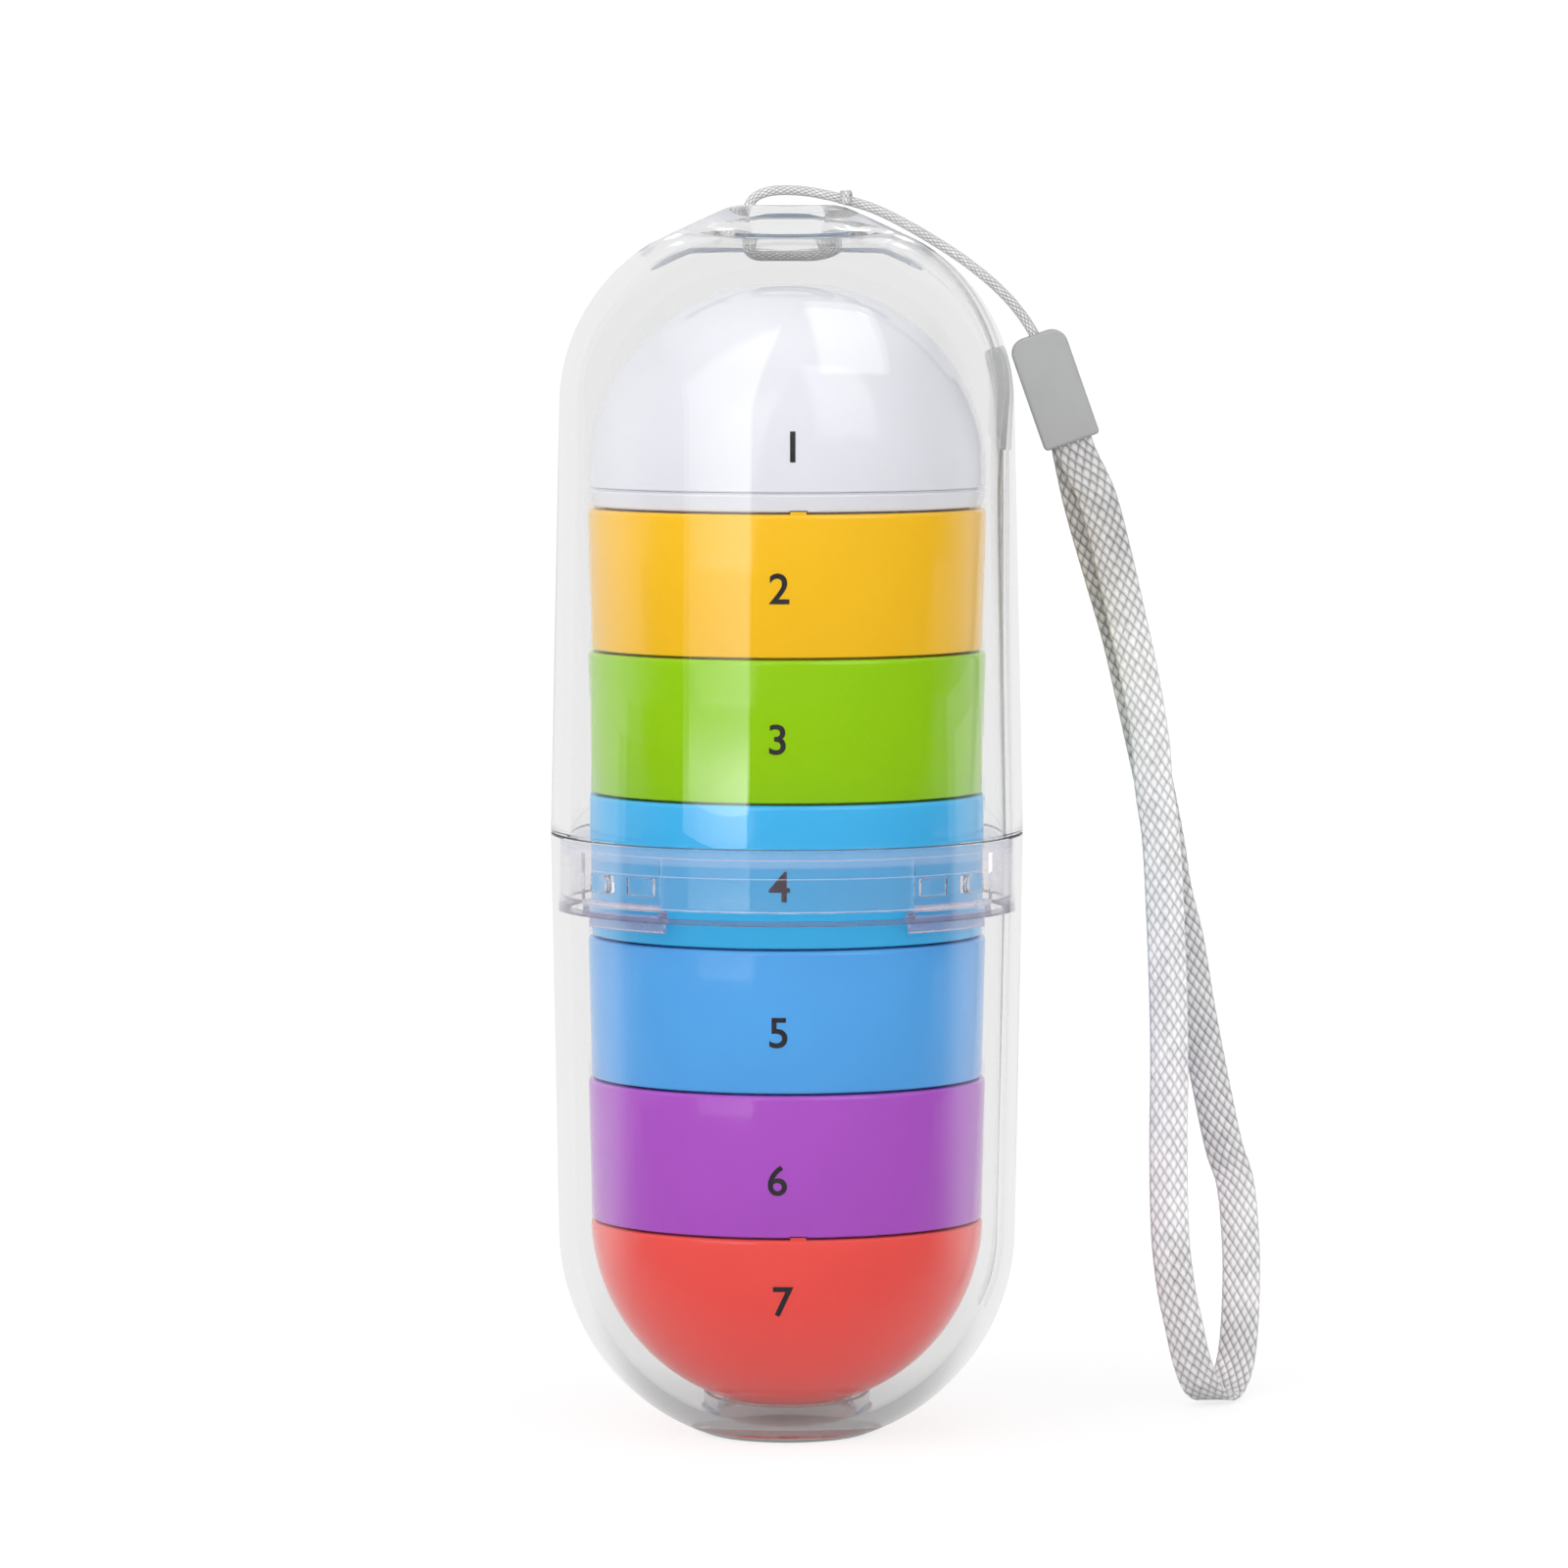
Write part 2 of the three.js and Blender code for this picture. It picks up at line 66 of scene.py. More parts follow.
bpy.context.scene.view_settings.view_transform = "Standard"
light_paths = bpy.context.scene.cycles
for kind in ("max", "transmission", "glossy"):
    setattr(light_paths, f"{kind}_bounces", LONGEST_PATH)
light_paths.transparent_max_bounces = LONGEST_CLEAR_PATH
camera_data = bpy.data.cameras.new("camera")
camera_data.lens = CAMERA_LENS
camera = bpy.data.objects.new("camera", camera_data)
bpy.context.scene.collection.objects.link(camera)
camera.location = Vector(CAMERA_PLACE) * MM
camera.rotation_euler = (math.radians(90 - CAMERA_TILT), 0, 0)
bpy.context.scene.camera = camera
print(f"camera: {CAMERA_LENS} mm lens, {camera.location.length:.3f} m from the foot's middle")

# %% [markdown]
# ## Writing a material as sums
#
# Node trees are easier to read as sums than as wires. A small class stands for one socket, and a sum
# on it adds the Math node. Another holds the material, and makes any other node from its type, its
# settings and what its sockets hold.


# %% Shader helpers
class Value:
    """One output socket of a finish. Sums on it add Math nodes."""

    def __init__(self, finish, socket):
        self.finish, self.socket = finish, socket

    def output(self, name):
        return Value(self.finish, self.socket.node.outputs[name])

    def math(self, operation, *terms):
        return self.finish.add("Math", {"operation": operation}, dict(enumerate([self, *terms])))

    def swapped(self, operation, first):
        return self.finish.add("Math", {"operation": operation}, {0: first, 1: self})

    def __add__(self, other):
        return self.math("ADD", other)

    def __sub__(self, other):
        return self.math("SUBTRACT", other)

    def __mul__(self, other):
        return self.math("MULTIPLY", other)

    def __truediv__(self, other):
        return self.math("DIVIDE", other)

    def __mod__(self, other):
        return self.math("FLOORED_MODULO", other)

    def __pow__(self, other):
        return self.math("POWER", other)

    def __lt__(self, other):
        return self.math("LESS_THAN", other)

    def __rsub__(self, other):
        return self.swapped("SUBTRACT", other)

    __radd__, __rmul__ = __add__, __mul__


class Finish:
    """A node tree under construction, of a material or of the world."""

    def __init__(self, owner):
        owner.use_nodes = True
        self.owner, self.tree = owner, owner.node_tree
        self.tree.nodes.clear()

    def add(self, kind, settings=None, sockets=None, output=0):
        node = self.tree.nodes.new("ShaderNode" + kind)
        for name, setting in (settings or {}).items():
            setattr(node, name, setting)
        for name, value in (sockets or {}).items():
            if isinstance(value, Value):
                self.tree.links.new(value.socket, node.inputs[name])
            else:
                node.inputs[name].default_value = value
        return Value(self, node.outputs[output])

    def noise(self, place, scale, detail=2):
        return self.add("TexNoise", sockets={"Vector": place, "Scale": scale, "Detail": detail})

    def mix_colour(self, share, first, second):
        return self.add("Mix", {"data_type": "RGBA"}, {0: share, 6: first, 7: second}, output=2)

    def smooth_range(self, value, start, end, low=0.0, high=1.0):
        span = {"Value": value, "From Min": start, "From Max": end, "To Min": low, "To Max": high}
        return self.add("MapRange", {"interpolation_type": "SMOOTHSTEP"}, span)

    def glow(self, strength):
        return self.add("Emission", sockets={"Color": (1, 1, 1, 1), "Strength": strength})

    def show(self, surface, kind="OutputMaterial"):
        node = self.tree.nodes.new("ShaderNode" + kind)
        self.tree.links.new(surface.socket, node.inputs["Surface"])
        return self.owner


def new_finish(name):
    return Finish(bpy.data.materials.new(name))


def from_srgb(red, green, blue):
    """A colour as a screen shows it, 0 to 255, turned into the linear values that shaders take."""
    linear = []
    for level in (red, green, blue):
        share = level / 255
        linear.append(share / 12.92 if share <= 0.04045 else ((share + 0.055) / 1.055) ** 2.4)
    return (*linear, 1)


# %% [markdown]
# ## Finishing a mesh
#
# Every piece ends the same way: its faces point outwards, its round faces shade smoothly up to its
# real edges, and it rides on the body that carries it.


# %% Piece helpers
def verts_of(geometry):
    return [part for part in geometry if isinstance(part, bmesh.types.BMVert)]


def piece_from(bm, name, material, body, stands_for=(), crease=32):
    """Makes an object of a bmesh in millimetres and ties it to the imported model."""
    bmesh.ops.recalc_face_normals(bm, faces=bm.faces)
    bmesh.ops.scale(bm, vec=(MM, MM, MM), verts=bm.verts)
    mesh = bpy.data.meshes.new(name)
    bm.to_mesh(mesh)
    bm.free()
    mesh.shade_smooth()
    mesh.set_sharp_from_angle(angle=math.radians(crease))
    mesh.materials.append(material)
    piece = bpy.data.objects.new(name, mesh)
    bpy.context.scene.collection.objects.link(piece)
    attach(piece, body)
    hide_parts(*stands_for)
    print(f"{name}: {len(mesh.polygons)} faces")
    return piece


# %% [markdown]
# ## Braid
#
# The cord and the band are braided from soft yarn. The yarns cross slantwise, so each float shows as an
# upright leaf in a net of lozenges. Modelling each yarn would take a great many faces for something
# half a millimetre wide, so the braid is a pattern on the piece's own UV map, which is laid out in
# millimetres round and along the tube. Some lengths of the band and the cord are painted darker or
# lighter, as painted shade and painted light for how the light falls on them.


# %% Braid finish
def braid_finish(name, leaf_width, leaf_height, groove_shade, yarn, depth, painted_shading=()):
    """A net of upright leaves, with painted shade in their grooves and painted light on one side of each.
    Each has its own shade, and each entry of painted light and shade lightens or darkens the shade from
    one place along the cord to another."""
    finish = new_finish(name)
    place = finish.add("UVMap", {"uv_map": "weave"})
    around = finish.add("SeparateXYZ", sockets={0: place})
    along = around.output("Y")
    rising = around / leaf_width + along / leaf_height
    falling = around / leaf_width - along / leaf_height
    rising_yarn, falling_yarn = rising.math("FLOOR"), falling.math("FLOOR")
    rising_across, falling_across = rising - rising_yarn, falling - falling_yarn
    lean = ((rising_yarn + falling_yarn) % 2) - 0.5
    upwards = rising_across - falling_across
    sideways = rising_across + falling_across - 1
    leaf = rising_across * (1 - rising_across) * falling_across * (1 - falling_across) * 16
    height = leaf**0.6
    leaf_place = finish.add("CombineXYZ", sockets={0: rising_yarn, 1: falling_yarn})
    patchy = finish.noise(leaf_place, 0.9)
    slant = around * 7 + lean * along * 4
    fibre_place = finish.add("CombineXYZ", sockets={0: slant, 1: along * 0.7, 2: rising_yarn * 3})
    fibres = finish.noise(fibre_place, 1.6, 1.5)
    uneven = finish.noise(place, 0.13)
    # Painted light and shade: each leaf is lighter at its middle and towards one side, and its grooves
    # darker.
    shade = height * 0.55 + 0.4 + sideways * 0.25 + upwards * 0.2
    shade = shade + (fibres - 0.5) * 0.4 + (uneven - 0.5) * 0.4
    shade = shade + (patchy - 0.5) * 0.5
    # Painted light and shade along the cord or band: each entry lightens or darkens it from one place to
    # another.
    for start, end, before, after in painted_shading:
        shade = shade + finish.smooth_range(along, start, end, before, after)
    colour = finish.mix_colour(shade.math("MAXIMUM", 0), groove_shade, yarn)
    relief = {"Strength": 1.0, "Distance": depth * MM, "Height": height + fibres * 0.15}
    bump = finish.add("Bump", sockets=relief)
    surface = finish.add(
        "BsdfPrincipled",
        sockets={"Base Color": colour, "Normal": bump, "Roughness": 0.5, "Sheen Weight": 0.25},
    )
    return finish.show(surface)


CORD_THICKNESS = 1.1
CORD_ROUND = math.pi * CORD_THICKNESS
# Painted shade: the cord is darker where it lies in shade under the bar.
CORD_PAINTED_SHADE = [(40, 43.5, 0, -0.5)]
cord_braid = braid_finish(
    "cord_braid",
    leaf_width=CORD_ROUND / 8,
    leaf_height=0.8,
    groove_shade=from_srgb(96, 95, 95),
    yarn=from_srgb(228, 228, 227),
    depth=0.1,
    painted_shading=CORD_PAINTED_SHADE,
)
# Painted shade and light: the band is darker near the clamp and down some lengths of its loop, lighter on
# others.
BAND_PAINTED_SHADING = [
    (8, 30, -0.35, 0),
    (88, 98, 0, -0.2),
    (124, 130, 0, 0.2),
    (141, 146, 0, -0.2),
    (200, 214, 0, -0.25),
]
band_braid = braid_finish(
    "band_braid",
    leaf_width=0.95,
    leaf_height=1.65,
    groove_shade=from_srgb(132, 132, 133),
    yarn=from_srgb(251, 250, 251),
    depth=0.12,
    painted_shading=BAND_PAINTED_SHADING,
)

# %% [markdown]
# ## The cord and the band
#
# A cord is a section carried along a line. A ring of points is extruded to the next place, again and
# again. The ring keeps its facing from one fixed direction, so the flat band doesn't twist where it
# turns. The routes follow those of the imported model, to within 1.5 mm.


# %% Route helpers
def smooth_route(points, span_steps):
    """Bezier spans through the points, each leaving along the line of its neighbours."""
    knots = [Vector(point) for point in points]
    line = []
    for i in range(len(knots) - 1):
        start, end = knots[i], knots[i + 1]
        before, after = knots[max(i - 1, 0)], knots[min(i + 2, len(knots) - 1)]
        reach = (end - start).length / 3
        leave = start + (end - before).normalized() * reach
        arrive = end - (after - start).normalized() * reach
        line += interpolate_bezier(start, leave, arrive, end, span_steps + 1)[:-1]
    return line + [knots[-1]]


def length_of(line):
    return sum((b - a).length for a, b in zip(line, line[1:]))


def frames_along(line, across):
    """A matrix for each ring: X towards `across`, Z along the line."""
    frames = []
    for i, point in enumerate(line):
        ahead = (line[min(i + 1, len(line) - 1)] - line[max(i - 1, 0)]).normalized()
        side = (across - ahead * across.dot(ahead)).normalized()
        turn = Matrix((side, ahead.cross(side), ahead)).transposed()
        frames.append(Matrix.Translation(point) @ turn.to_4x4())
    return frames


def swept(line, across, width, thickness, sides):
    """A closed tube of a round-edged section, with its UV map in millimetres."""
    bm = bmesh.new()
    spoke = bm.verts.layers.int.new("spoke")
    ring = bm.verts.layers.int.new("ring")
    bmesh.ops.create_circle(bm, segments=sides, radius=thickness / 2)
    for half in (-1, 1):
        outer = [v for v in bm.verts if v.co.x * half > thickness * 0.05]
        bmesh.ops.translate(bm, verts=outer, vec=(half * (width - thickness) / 2, 0, 0))
    bm.verts.ensure_lookup_table()
    section = [v.co.copy() for v in bm.verts]
    for i, vert in enumerate(bm.verts):
        vert[spoke] = i
    around = [0]
    for i in range(sides):
        around.append(around[-1] + (section[(i + 1) % sides] - section[i]).length)
    along = [0]
    for a, b in zip(line, line[1:]):
        along.append(along[-1] + (b - a).length)
    verts, edges, place = list(bm.verts), list(bm.edges), Matrix.Identity(4)
    for i, station in enumerate(frames_along(line, across)):
        if i:
            made = bmesh.ops.extrude_edge_only(bm, edges=edges)["geom"]
            verts = verts_of(made)
            edges = [
                g
                for g in made
                if isinstance(g, bmesh.types.BMEdge) and all(v in verts for v in g.verts)
            ]
        bmesh.ops.transform(bm, matrix=station @ place.inverted(), verts=verts)
        for vert in verts:
            vert[ring] = i
        place = station
    weave = bm.loops.layers.uv.new("weave")
    for face in bm.faces:
        last = any(corner.vert[spoke] == sides - 1 for corner in face.loops)
        for corner in face.loops:
            turn = corner.vert[spoke]
            turn = sides if turn == 0 and last else turn
            corner[weave].uv = (around[turn], along[corner.vert[ring]])
    bmesh.ops.holes_fill(bm, edges=[e for e in bm.edges if e.is_boundary], sides=0)
    return bm


# %% [markdown]
# ### The routes
#
# The cord is folded double. Its two strands leave the clamp, climb over the crown, go down the left
# slot, under the bar and up the right slot. There the fold lies over the strands like a small arch
# and holds them tight. The band is one loop that leaves the clamp and comes back to it. Both start a
# little inside the clamp's mouths. The last number of a strand's row is how far it lies from the
# middle between the two.

# %% Routes, in millimetres
STRAND_SPREAD = 0.75
STRAND_ROUTE = [
    (27.25, 1.4, 120.9, STRAND_SPREAD),
    (27.0, 1.4, 121.5, STRAND_SPREAD),
    (26.45, 1.4, 122.4, STRAND_SPREAD),
    (25.6, 1.25, 123.6, STRAND_SPREAD),
    (24.3, 0.95, 125.15, STRAND_SPREAD),
    (22.2, 0.55, 127.15, STRAND_SPREAD),
    (19.4, 0.2, 129.35, STRAND_SPREAD),
    (16.1, 0, 131.5, STRAND_SPREAD),
    (12.8, 0, 133.4, STRAND_SPREAD),
    (9.6, 0, 134.95, STRAND_SPREAD),
    (6.4, 0, 135.95, 0.68),
    (3.2, 0, 136.7, 0.7),
    (0.2, 0, 137.0, STRAND_SPREAD),
    (-2.2, 0, 136.8, STRAND_SPREAD),
    (-3.75, 0, 136.0, 0.8),
    (-4.45, 0, 134.4, 0.85),
    (-4.5, 0, 132.5, 0.9),
    (-4.4, 0, 131.2, 1.0),
    (-3.5, 0, 130.3, 1.05),
    (-1.6, 0, 130.2, 1.15),
    (0.8, 0, 130.2, 1.25),
    (3.2, 0, 130.25, 1.4),
    (5.1, 0, 130.85, 1.55),
    (6.15, 0, 132.0, 1.75),
    (6.4, 0, 133.3, 1.9),
    (6.45, 0, 134.5, 1.95),
]
HITCH_ROUTE = [
    (5.85, 1.75, 135.55),
    (5.9, 1.8, 136.0),
    (5.95, 1.35, 136.55),
    (6.05, 0.7, 136.72),
    (6.15, 0, 136.66),
    (6.2, -0.7, 136.72),
    (6.25, -1.35, 136.55),
    (6.3, -1.8, 136.0),
    (6.45, -1.85, 135.55),
    (6.6, -1.8, 136.0),
    (6.65, -1.35, 136.6),
    (6.7, -0.7, 136.78),
    (6.75, 0, 136.72),
    (6.85, 0.7, 136.78),
    (6.9, 1.35, 136.6),
    (6.95, 1.8, 136.0),
    (7.0, 1.75, 135.55),
]
BAND_ROUTE = [
    (31.28, 0.6, 109.75),
    (31.5, 0.65, 109.1),
    (32.05, 0.9, 107.7),
    (34.1, 1.8, 103.4),
    (36.1, 3.3, 96.1),
    (37.7, 4.8, 89.3),
    (39.1, 6.0, 83.1),
    (40.35, 7.4, 75.9),
    (40.8, 8.3, 71.0),
    (41.7, 9.4, 64.9),
    (42.35, 11.0, 54.3),
    (42.7, 12.0, 46.3),
    (42.85, 12.6, 39.2),
    (42.8, 13.0, 29.8),
    (43.05, 13.0, 19.9),
    (43.75, 13.0, 13.9),
    (44.6, 13.2, 9.9),
    (45.5, 14.0, 5.9),
    (46.9, 16.0, 2.3),
    (48.8, 19.4, 0.85),
    (50.4, 22.4, 2.3),
    (51.3, 24.0, 5.6),
    (51.7, 24.2, 13.0),
    (51.5, 23.4, 19.0),
    (50.8, 22.2, 25.0),
    (49.5, 21.2, 29.0),
    (47.5, 19.2, 38.2),
    (46.1, 17.6, 45.2),
    (44.7, 15.8, 53.1),
    (43.2, 14.4, 59.1),
    (42.5, 13.4, 63.5),
    (41.3, 12.0, 69.5),
    (40.2, 10.8, 74.4),
    (38.5, 9.0, 81.7),
    (37.0, 7.4, 87.9),
    (34.9, 5.6, 94.9),
    (32.7, 3.7, 102.4),
    (31.55, 2.6, 107.4),
    (31.3, 2.25, 108.65),
    (31.12, 2.2, 109.5),
]

# %% Cord strands, hitch and band
BAND_WIDTH, BAND_THICKNESS = 4.3, 0.9
HITCH_THICKNESS = 0.54
X_AXIS, Y_AXIS = Vector((1, 0, 0)), Vector((0, 1, 0))

strand_lines = {}
for name, side in (("front", -1), ("back", 1)):
    route = [(x, y + side * spread, z) for x, y, z, spread in STRAND_ROUTE]
    strand_lines[name] = smooth_route(route, 6)
strands = {
    name: piece_from(
        swept(line, Y_AXIS, CORD_THICKNESS, CORD_THICKNESS, 16),
        f"cord_strand_{name}",
        cord_braid,
        "case_cap",
        [f"strap_strand_{name}"],
    )
    for name, line in strand_lines.items()
}
hitch = piece_from(
    swept(smooth_route(HITCH_ROUTE, 5), X_AXIS, HITCH_THICKNESS, HITCH_THICKNESS, 16),
    "cord_fold",
    cord_braid,
    "case_cap",
    ["strap_hitch"],
)
band_line = smooth_route(BAND_ROUTE, 8)
band = piece_from(
    swept(band_line, X_AXIS, BAND_WIDTH, BAND_THICKNESS, 20),
    "wrist_band",
    band_braid,
    "case_cap",
    ["strap_band"],
)

# %% [markdown]
# ## The clamp
#
# A small moulded clamp holds the ends of the cord and the band. It starts as a cube: the two corners
# at the cord's end get a wide bevel, the others a narrow one, and the rims of its broad faces a soft
# edge. The mouths for the cord and the band are faces inset and pushed in. Its plastic is satin, with
# the fine grain of a sparked mould.

# %% Clamp
CLAMP_SIZE = Vector((6.3, 4.0, 12.5))
CLAMP_PLACE = (29.3, 1.4, 115.3)
CLAMP_LEAN = -19.4


def bevel(bm, edges, offset, segments):
    return bmesh.ops.bevel(
        bm,
        geom=edges,
        offset=offset,
        segments=segments,
        profile=0.5,
        affect="EDGES",
        material=-1,
        clamp_overlap=True,
    )


def satin_plastic(name, colour, roughness, grain):
    """Moulded plastic with a fine sparked grain, slightly uneven in gloss."""
    finish = new_finish(name)
    place = finish.add("TexCoord", output="Object")
    fine = finish.noise(place, 4000)
    broad = finish.noise(place, 220)
    darker = tuple(level * 0.9 for level in colour[:3]) + (1,)
    bump = finish.add("Bump", sockets={"Strength": 0.25, "Distance": grain * MM, "Height": fine})
    surface = finish.add(
        "BsdfPrincipled",
        sockets={
            "Base Color": finish.mix_colour(broad, darker, colour),
            "Roughness": broad * 0.12 + roughness,
            "Normal": bump,
        },
    )
    return finish.show(surface)


bm = bmesh.new()
bmesh.ops.create_cube(bm, size=1)
bmesh.ops.scale(bm, vec=CLAMP_SIZE, verts=bm.verts)
along_y = [e for e in bm.edges if abs(e.verts[0].co.y - e.verts[1].co.y) > 1]
top_edges = [e for e in along_y if e.verts[0].co.z > 0]
bottom_edges = [e for e in along_y if e.verts[0].co.z < 0]
bevel(bm, top_edges, offset=1.7, segments=10)
bevel(bm, [e for e in bottom_edges if e.is_valid], offset=0.4, segments=3)
across_y = [e for e in bm.edges if abs(e.verts[0].co.y - e.verts[1].co.y) < 0.01]
bevel(bm, [e for e in across_y if e.calc_face_angle(0) > 1], offset=0.35, segments=4)
for upwards, margin, inset_depth in ((1, 0.9, 0.9), (-1, 0.55, 0.7)):
    mouth = max(bm.faces, key=lambda f: f.normal.z * upwards * f.calc_area())
    bmesh.ops.inset_region(bm, faces=[mouth], thickness=margin, use_even_offset=True)
    bmesh.ops.inset_region(bm, faces=[mouth], thickness=0.1, depth=-inset_depth, use_even_offset=True)
lean = Matrix.Rotation(math.radians(CLAMP_LEAN), 4, "Y")
bmesh.ops.transform(bm, matrix=Matrix.Translation(CLAMP_PLACE) @ lean, verts=bm.verts)
clamp_plastic = satin_plastic("clamp_plastic", from_srgb(164, 165, 165), roughness=0.55, grain=0.02)
clamp = piece_from(bm, "strap_clamp_body", clamp_plastic, "case_cap", ["strap_clamp"])

# %% [markdown]
# ## How long the cords are
#
# Each strand runs whole, from the right slot to the clamp, and so does the band's loop. The length of
# each line is printed.

for name, line in strand_lines.items():
    line[-1] * MM
    [point * MM for point in line]
    print(f"strand {name}: {length_of(line):.1f} mm")
band_line[0] * MM
[point * MM for point in band_line]
print(f"band: {length_of(band_line):.1f} mm")

# %% [markdown]
# ## Clear plastic
#
# The shells are moulded in a clear, glassy plastic. Real thickness gives the look: light bends at
# both faces of a wall, and at the silhouette it is thrown back inside the wall, which draws the thin
# line beside the edge. A refracting surface stops lamps in Cycles, so the rays that only carry light
# pass straight through.


# %% Clear finish
def clear_finish():
    finish = new_finish("clear_plastic")
    path = finish.add("LightPath", output="Is Shadow Ray")
    carries_light = path.math("MAXIMUM", path.output("Is Diffuse Ray"))
    place = finish.add("TexCoord", output="Object")
    flow = finish.noise(place, 60, 1)
    bump = finish.add("Bump", sockets={"Strength": 0.05, "Distance": 0.02 * MM, "Height": flow})
    shell = finish.add(
        "BsdfPrincipled",
        sockets={
            "Base Color": (0.967, 0.967, 0.966, 1),
            "Roughness": 0.0,
            "IOR": 1.49,
            "Transmission Weight": 1.0,
            "Normal": bump,
        },
    )
    through = finish.add("BsdfTransparent", sockets={"Color": (0.985, 0.985, 0.985, 1)})
    return finish.show(finish.add("MixShader", sockets={0: carries_light, 1: shell, 2: through}))


clear_plastic = clear_finish()

# %% [markdown]
# ## Turned shapes
#
# The case and the boxes are round, so each is an outline spun a full turn. The outline runs
# anticlockwise in [radius, height], and starts and ends on the axis or closes on itself.

# %% Turning helpers
TURN_STEPS = 160


def arc(centre, radius, start, end, steps):
    """Points round a centre, from one angle to another. 0 points outwards and 90 up."""
    points = []
    for i in range(steps + 1):
        angle = math.radians(start + (end - start) * i / steps)
        points.append((centre[0] + radius * math.cos(angle), centre[1] + radius * math.sin(angle)))
    return points


def turned(outline, lift=0, steps=TURN_STEPS):
    bm = bmesh.new()
    verts = [bm.verts.new((max(radius, 0), 0, height + lift)) for radius, height in outline]
    edges = [bm.edges.new(pair) for pair in zip(verts, verts[1:])]
    if outline[0][0] > 0.01:
        edges.append(bm.edges.new((verts[-1], verts[0])))
    bmesh.ops.spin(
        bm,
        geom=verts + edges,
        cent=(0, 0, 0),
        axis=(0, 0, 1),
        angle=math.tau,
        steps=steps,
        use_merge=True,
    )
    bmesh.ops.remove_doubles(bm, verts=bm.verts, dist=0.0004)
    bmesh.ops.recalc_face_normals(bm, faces=bm.faces)
    return bm


def combined(bm, tool, operation):
    """One Boolean between two bmeshes, which are used up."""
    blanks = []
    for source in (bm, tool):
        mesh = bpy.data.meshes.new("blank")
        source.to_mesh(mesh)
        source.free()
        blank = bpy.data.objects.new("blank", mesh)
        bpy.context.scene.collection.objects.link(blank)
        blanks.append(blank)
    modifier = blanks[0].modifiers.new("Boolean", "BOOLEAN")
    modifier.object, modifier.operation, modifier.solver = blanks[1], operation, "EXACT"
    made = bmesh.new()
    made.from_object(blanks[0], bpy.context.evaluated_depsgraph_get())
    for blank in blanks:
        bpy.data.meshes.remove(blank.data)
    return made


# %% [markdown]
# ## The case's lower shell
#
# Its wall is 2 mm thick and thins to a collar at the mouth, which leaves a stop ledge inside. The foot
# is a small flat with the dimple of the mould's gate, and a short ring inside cradles the boxes.

# %% Lower shell
SPLIT, LEDGE = 66.6, 58.3
CASE_RADIUS, SHELL_WALL = 26, 2
COLLAR_RADIUS, LEDGE_RADIUS = 25.15, 23.849
CRADLE_RADIUS, CRADLE_INSIDE = 9.35, 8.0
DIMPLE_RADIUS, DIMPLE_DEPTH = 1.8, 0.6
FLOOR_HEIGHT = 1.6
WAIST_OFFSET, WAIST_CURVE, WAIST_HEIGHT = 1.2, 24.0, 22.697
BOWL_RADIUS, BOWL_HEIGHT, BOWL_OFFSET = 21.3, 24.1, 0.33


def cradle_top(radius):
    return BOWL_HEIGHT - math.sqrt((BOWL_RADIUS + 0.3) ** 2 - radius**2)


curve_centre = (WAIST_OFFSET, WAIST_HEIGHT)
foot_angle = -math.degrees(math.asin(WAIST_HEIGHT / WAIST_CURVE))
inner_curve = WAIST_CURVE - SHELL_WALL
floor_angle = -math.degrees(math.acos((CRADLE_RADIUS - WAIST_OFFSET) / inner_curve))
base_outline = [
    (0, DIMPLE_DEPTH),
    (DIMPLE_RADIUS - 0.3, DIMPLE_DEPTH),
    (DIMPLE_RADIUS - 0.1, DIMPLE_DEPTH - 0.15),
    (DIMPLE_RADIUS - 0.1, 0.1),
    (DIMPLE_RADIUS, 0),
    *arc(curve_centre, WAIST_CURVE, foot_angle, 0, 44),
    (CASE_RADIUS, SPLIT - 0.16),
    (CASE_RADIUS - 0.08, SPLIT - 0.08),
    (COLLAR_RADIUS + 0.1, SPLIT - 0.08),
    (COLLAR_RADIUS, SPLIT - 0.18),
    (COLLAR_RADIUS, LEDGE),
    (LEDGE_RADIUS, LEDGE),
    *arc(curve_centre, inner_curve, 0, floor_angle, 40),
    (CRADLE_RADIUS, cradle_top(CRADLE_RADIUS) - 0.1),
    (CRADLE_RADIUS - 0.15, cradle_top(CRADLE_RADIUS - 0.15)),
    (CRADLE_INSIDE, cradle_top(CRADLE_INSIDE)),
    (CRADLE_INSIDE, FLOOR_HEIGHT + 0.3),
    (CRADLE_INSIDE - 0.3, FLOOR_HEIGHT),
    (0, FLOOR_HEIGHT),
]
piece_from(
    turned(base_outline), "clear_base_shell", clear_plastic, "case_base", ["case_base"]
)

# %% [markdown]
# ## The case's upper shell
#
# Above a skirt that plugs into the collar, the cap rises to a thick crown with two slots, and the
# bridge between the slots is the bar for the strap. Four snap fingers hang from the skirt, each with a
# hooked lip and two raised pads. The round part is spun, and the slots, slits, fingers and pads are
# cut and joined with Booleans.

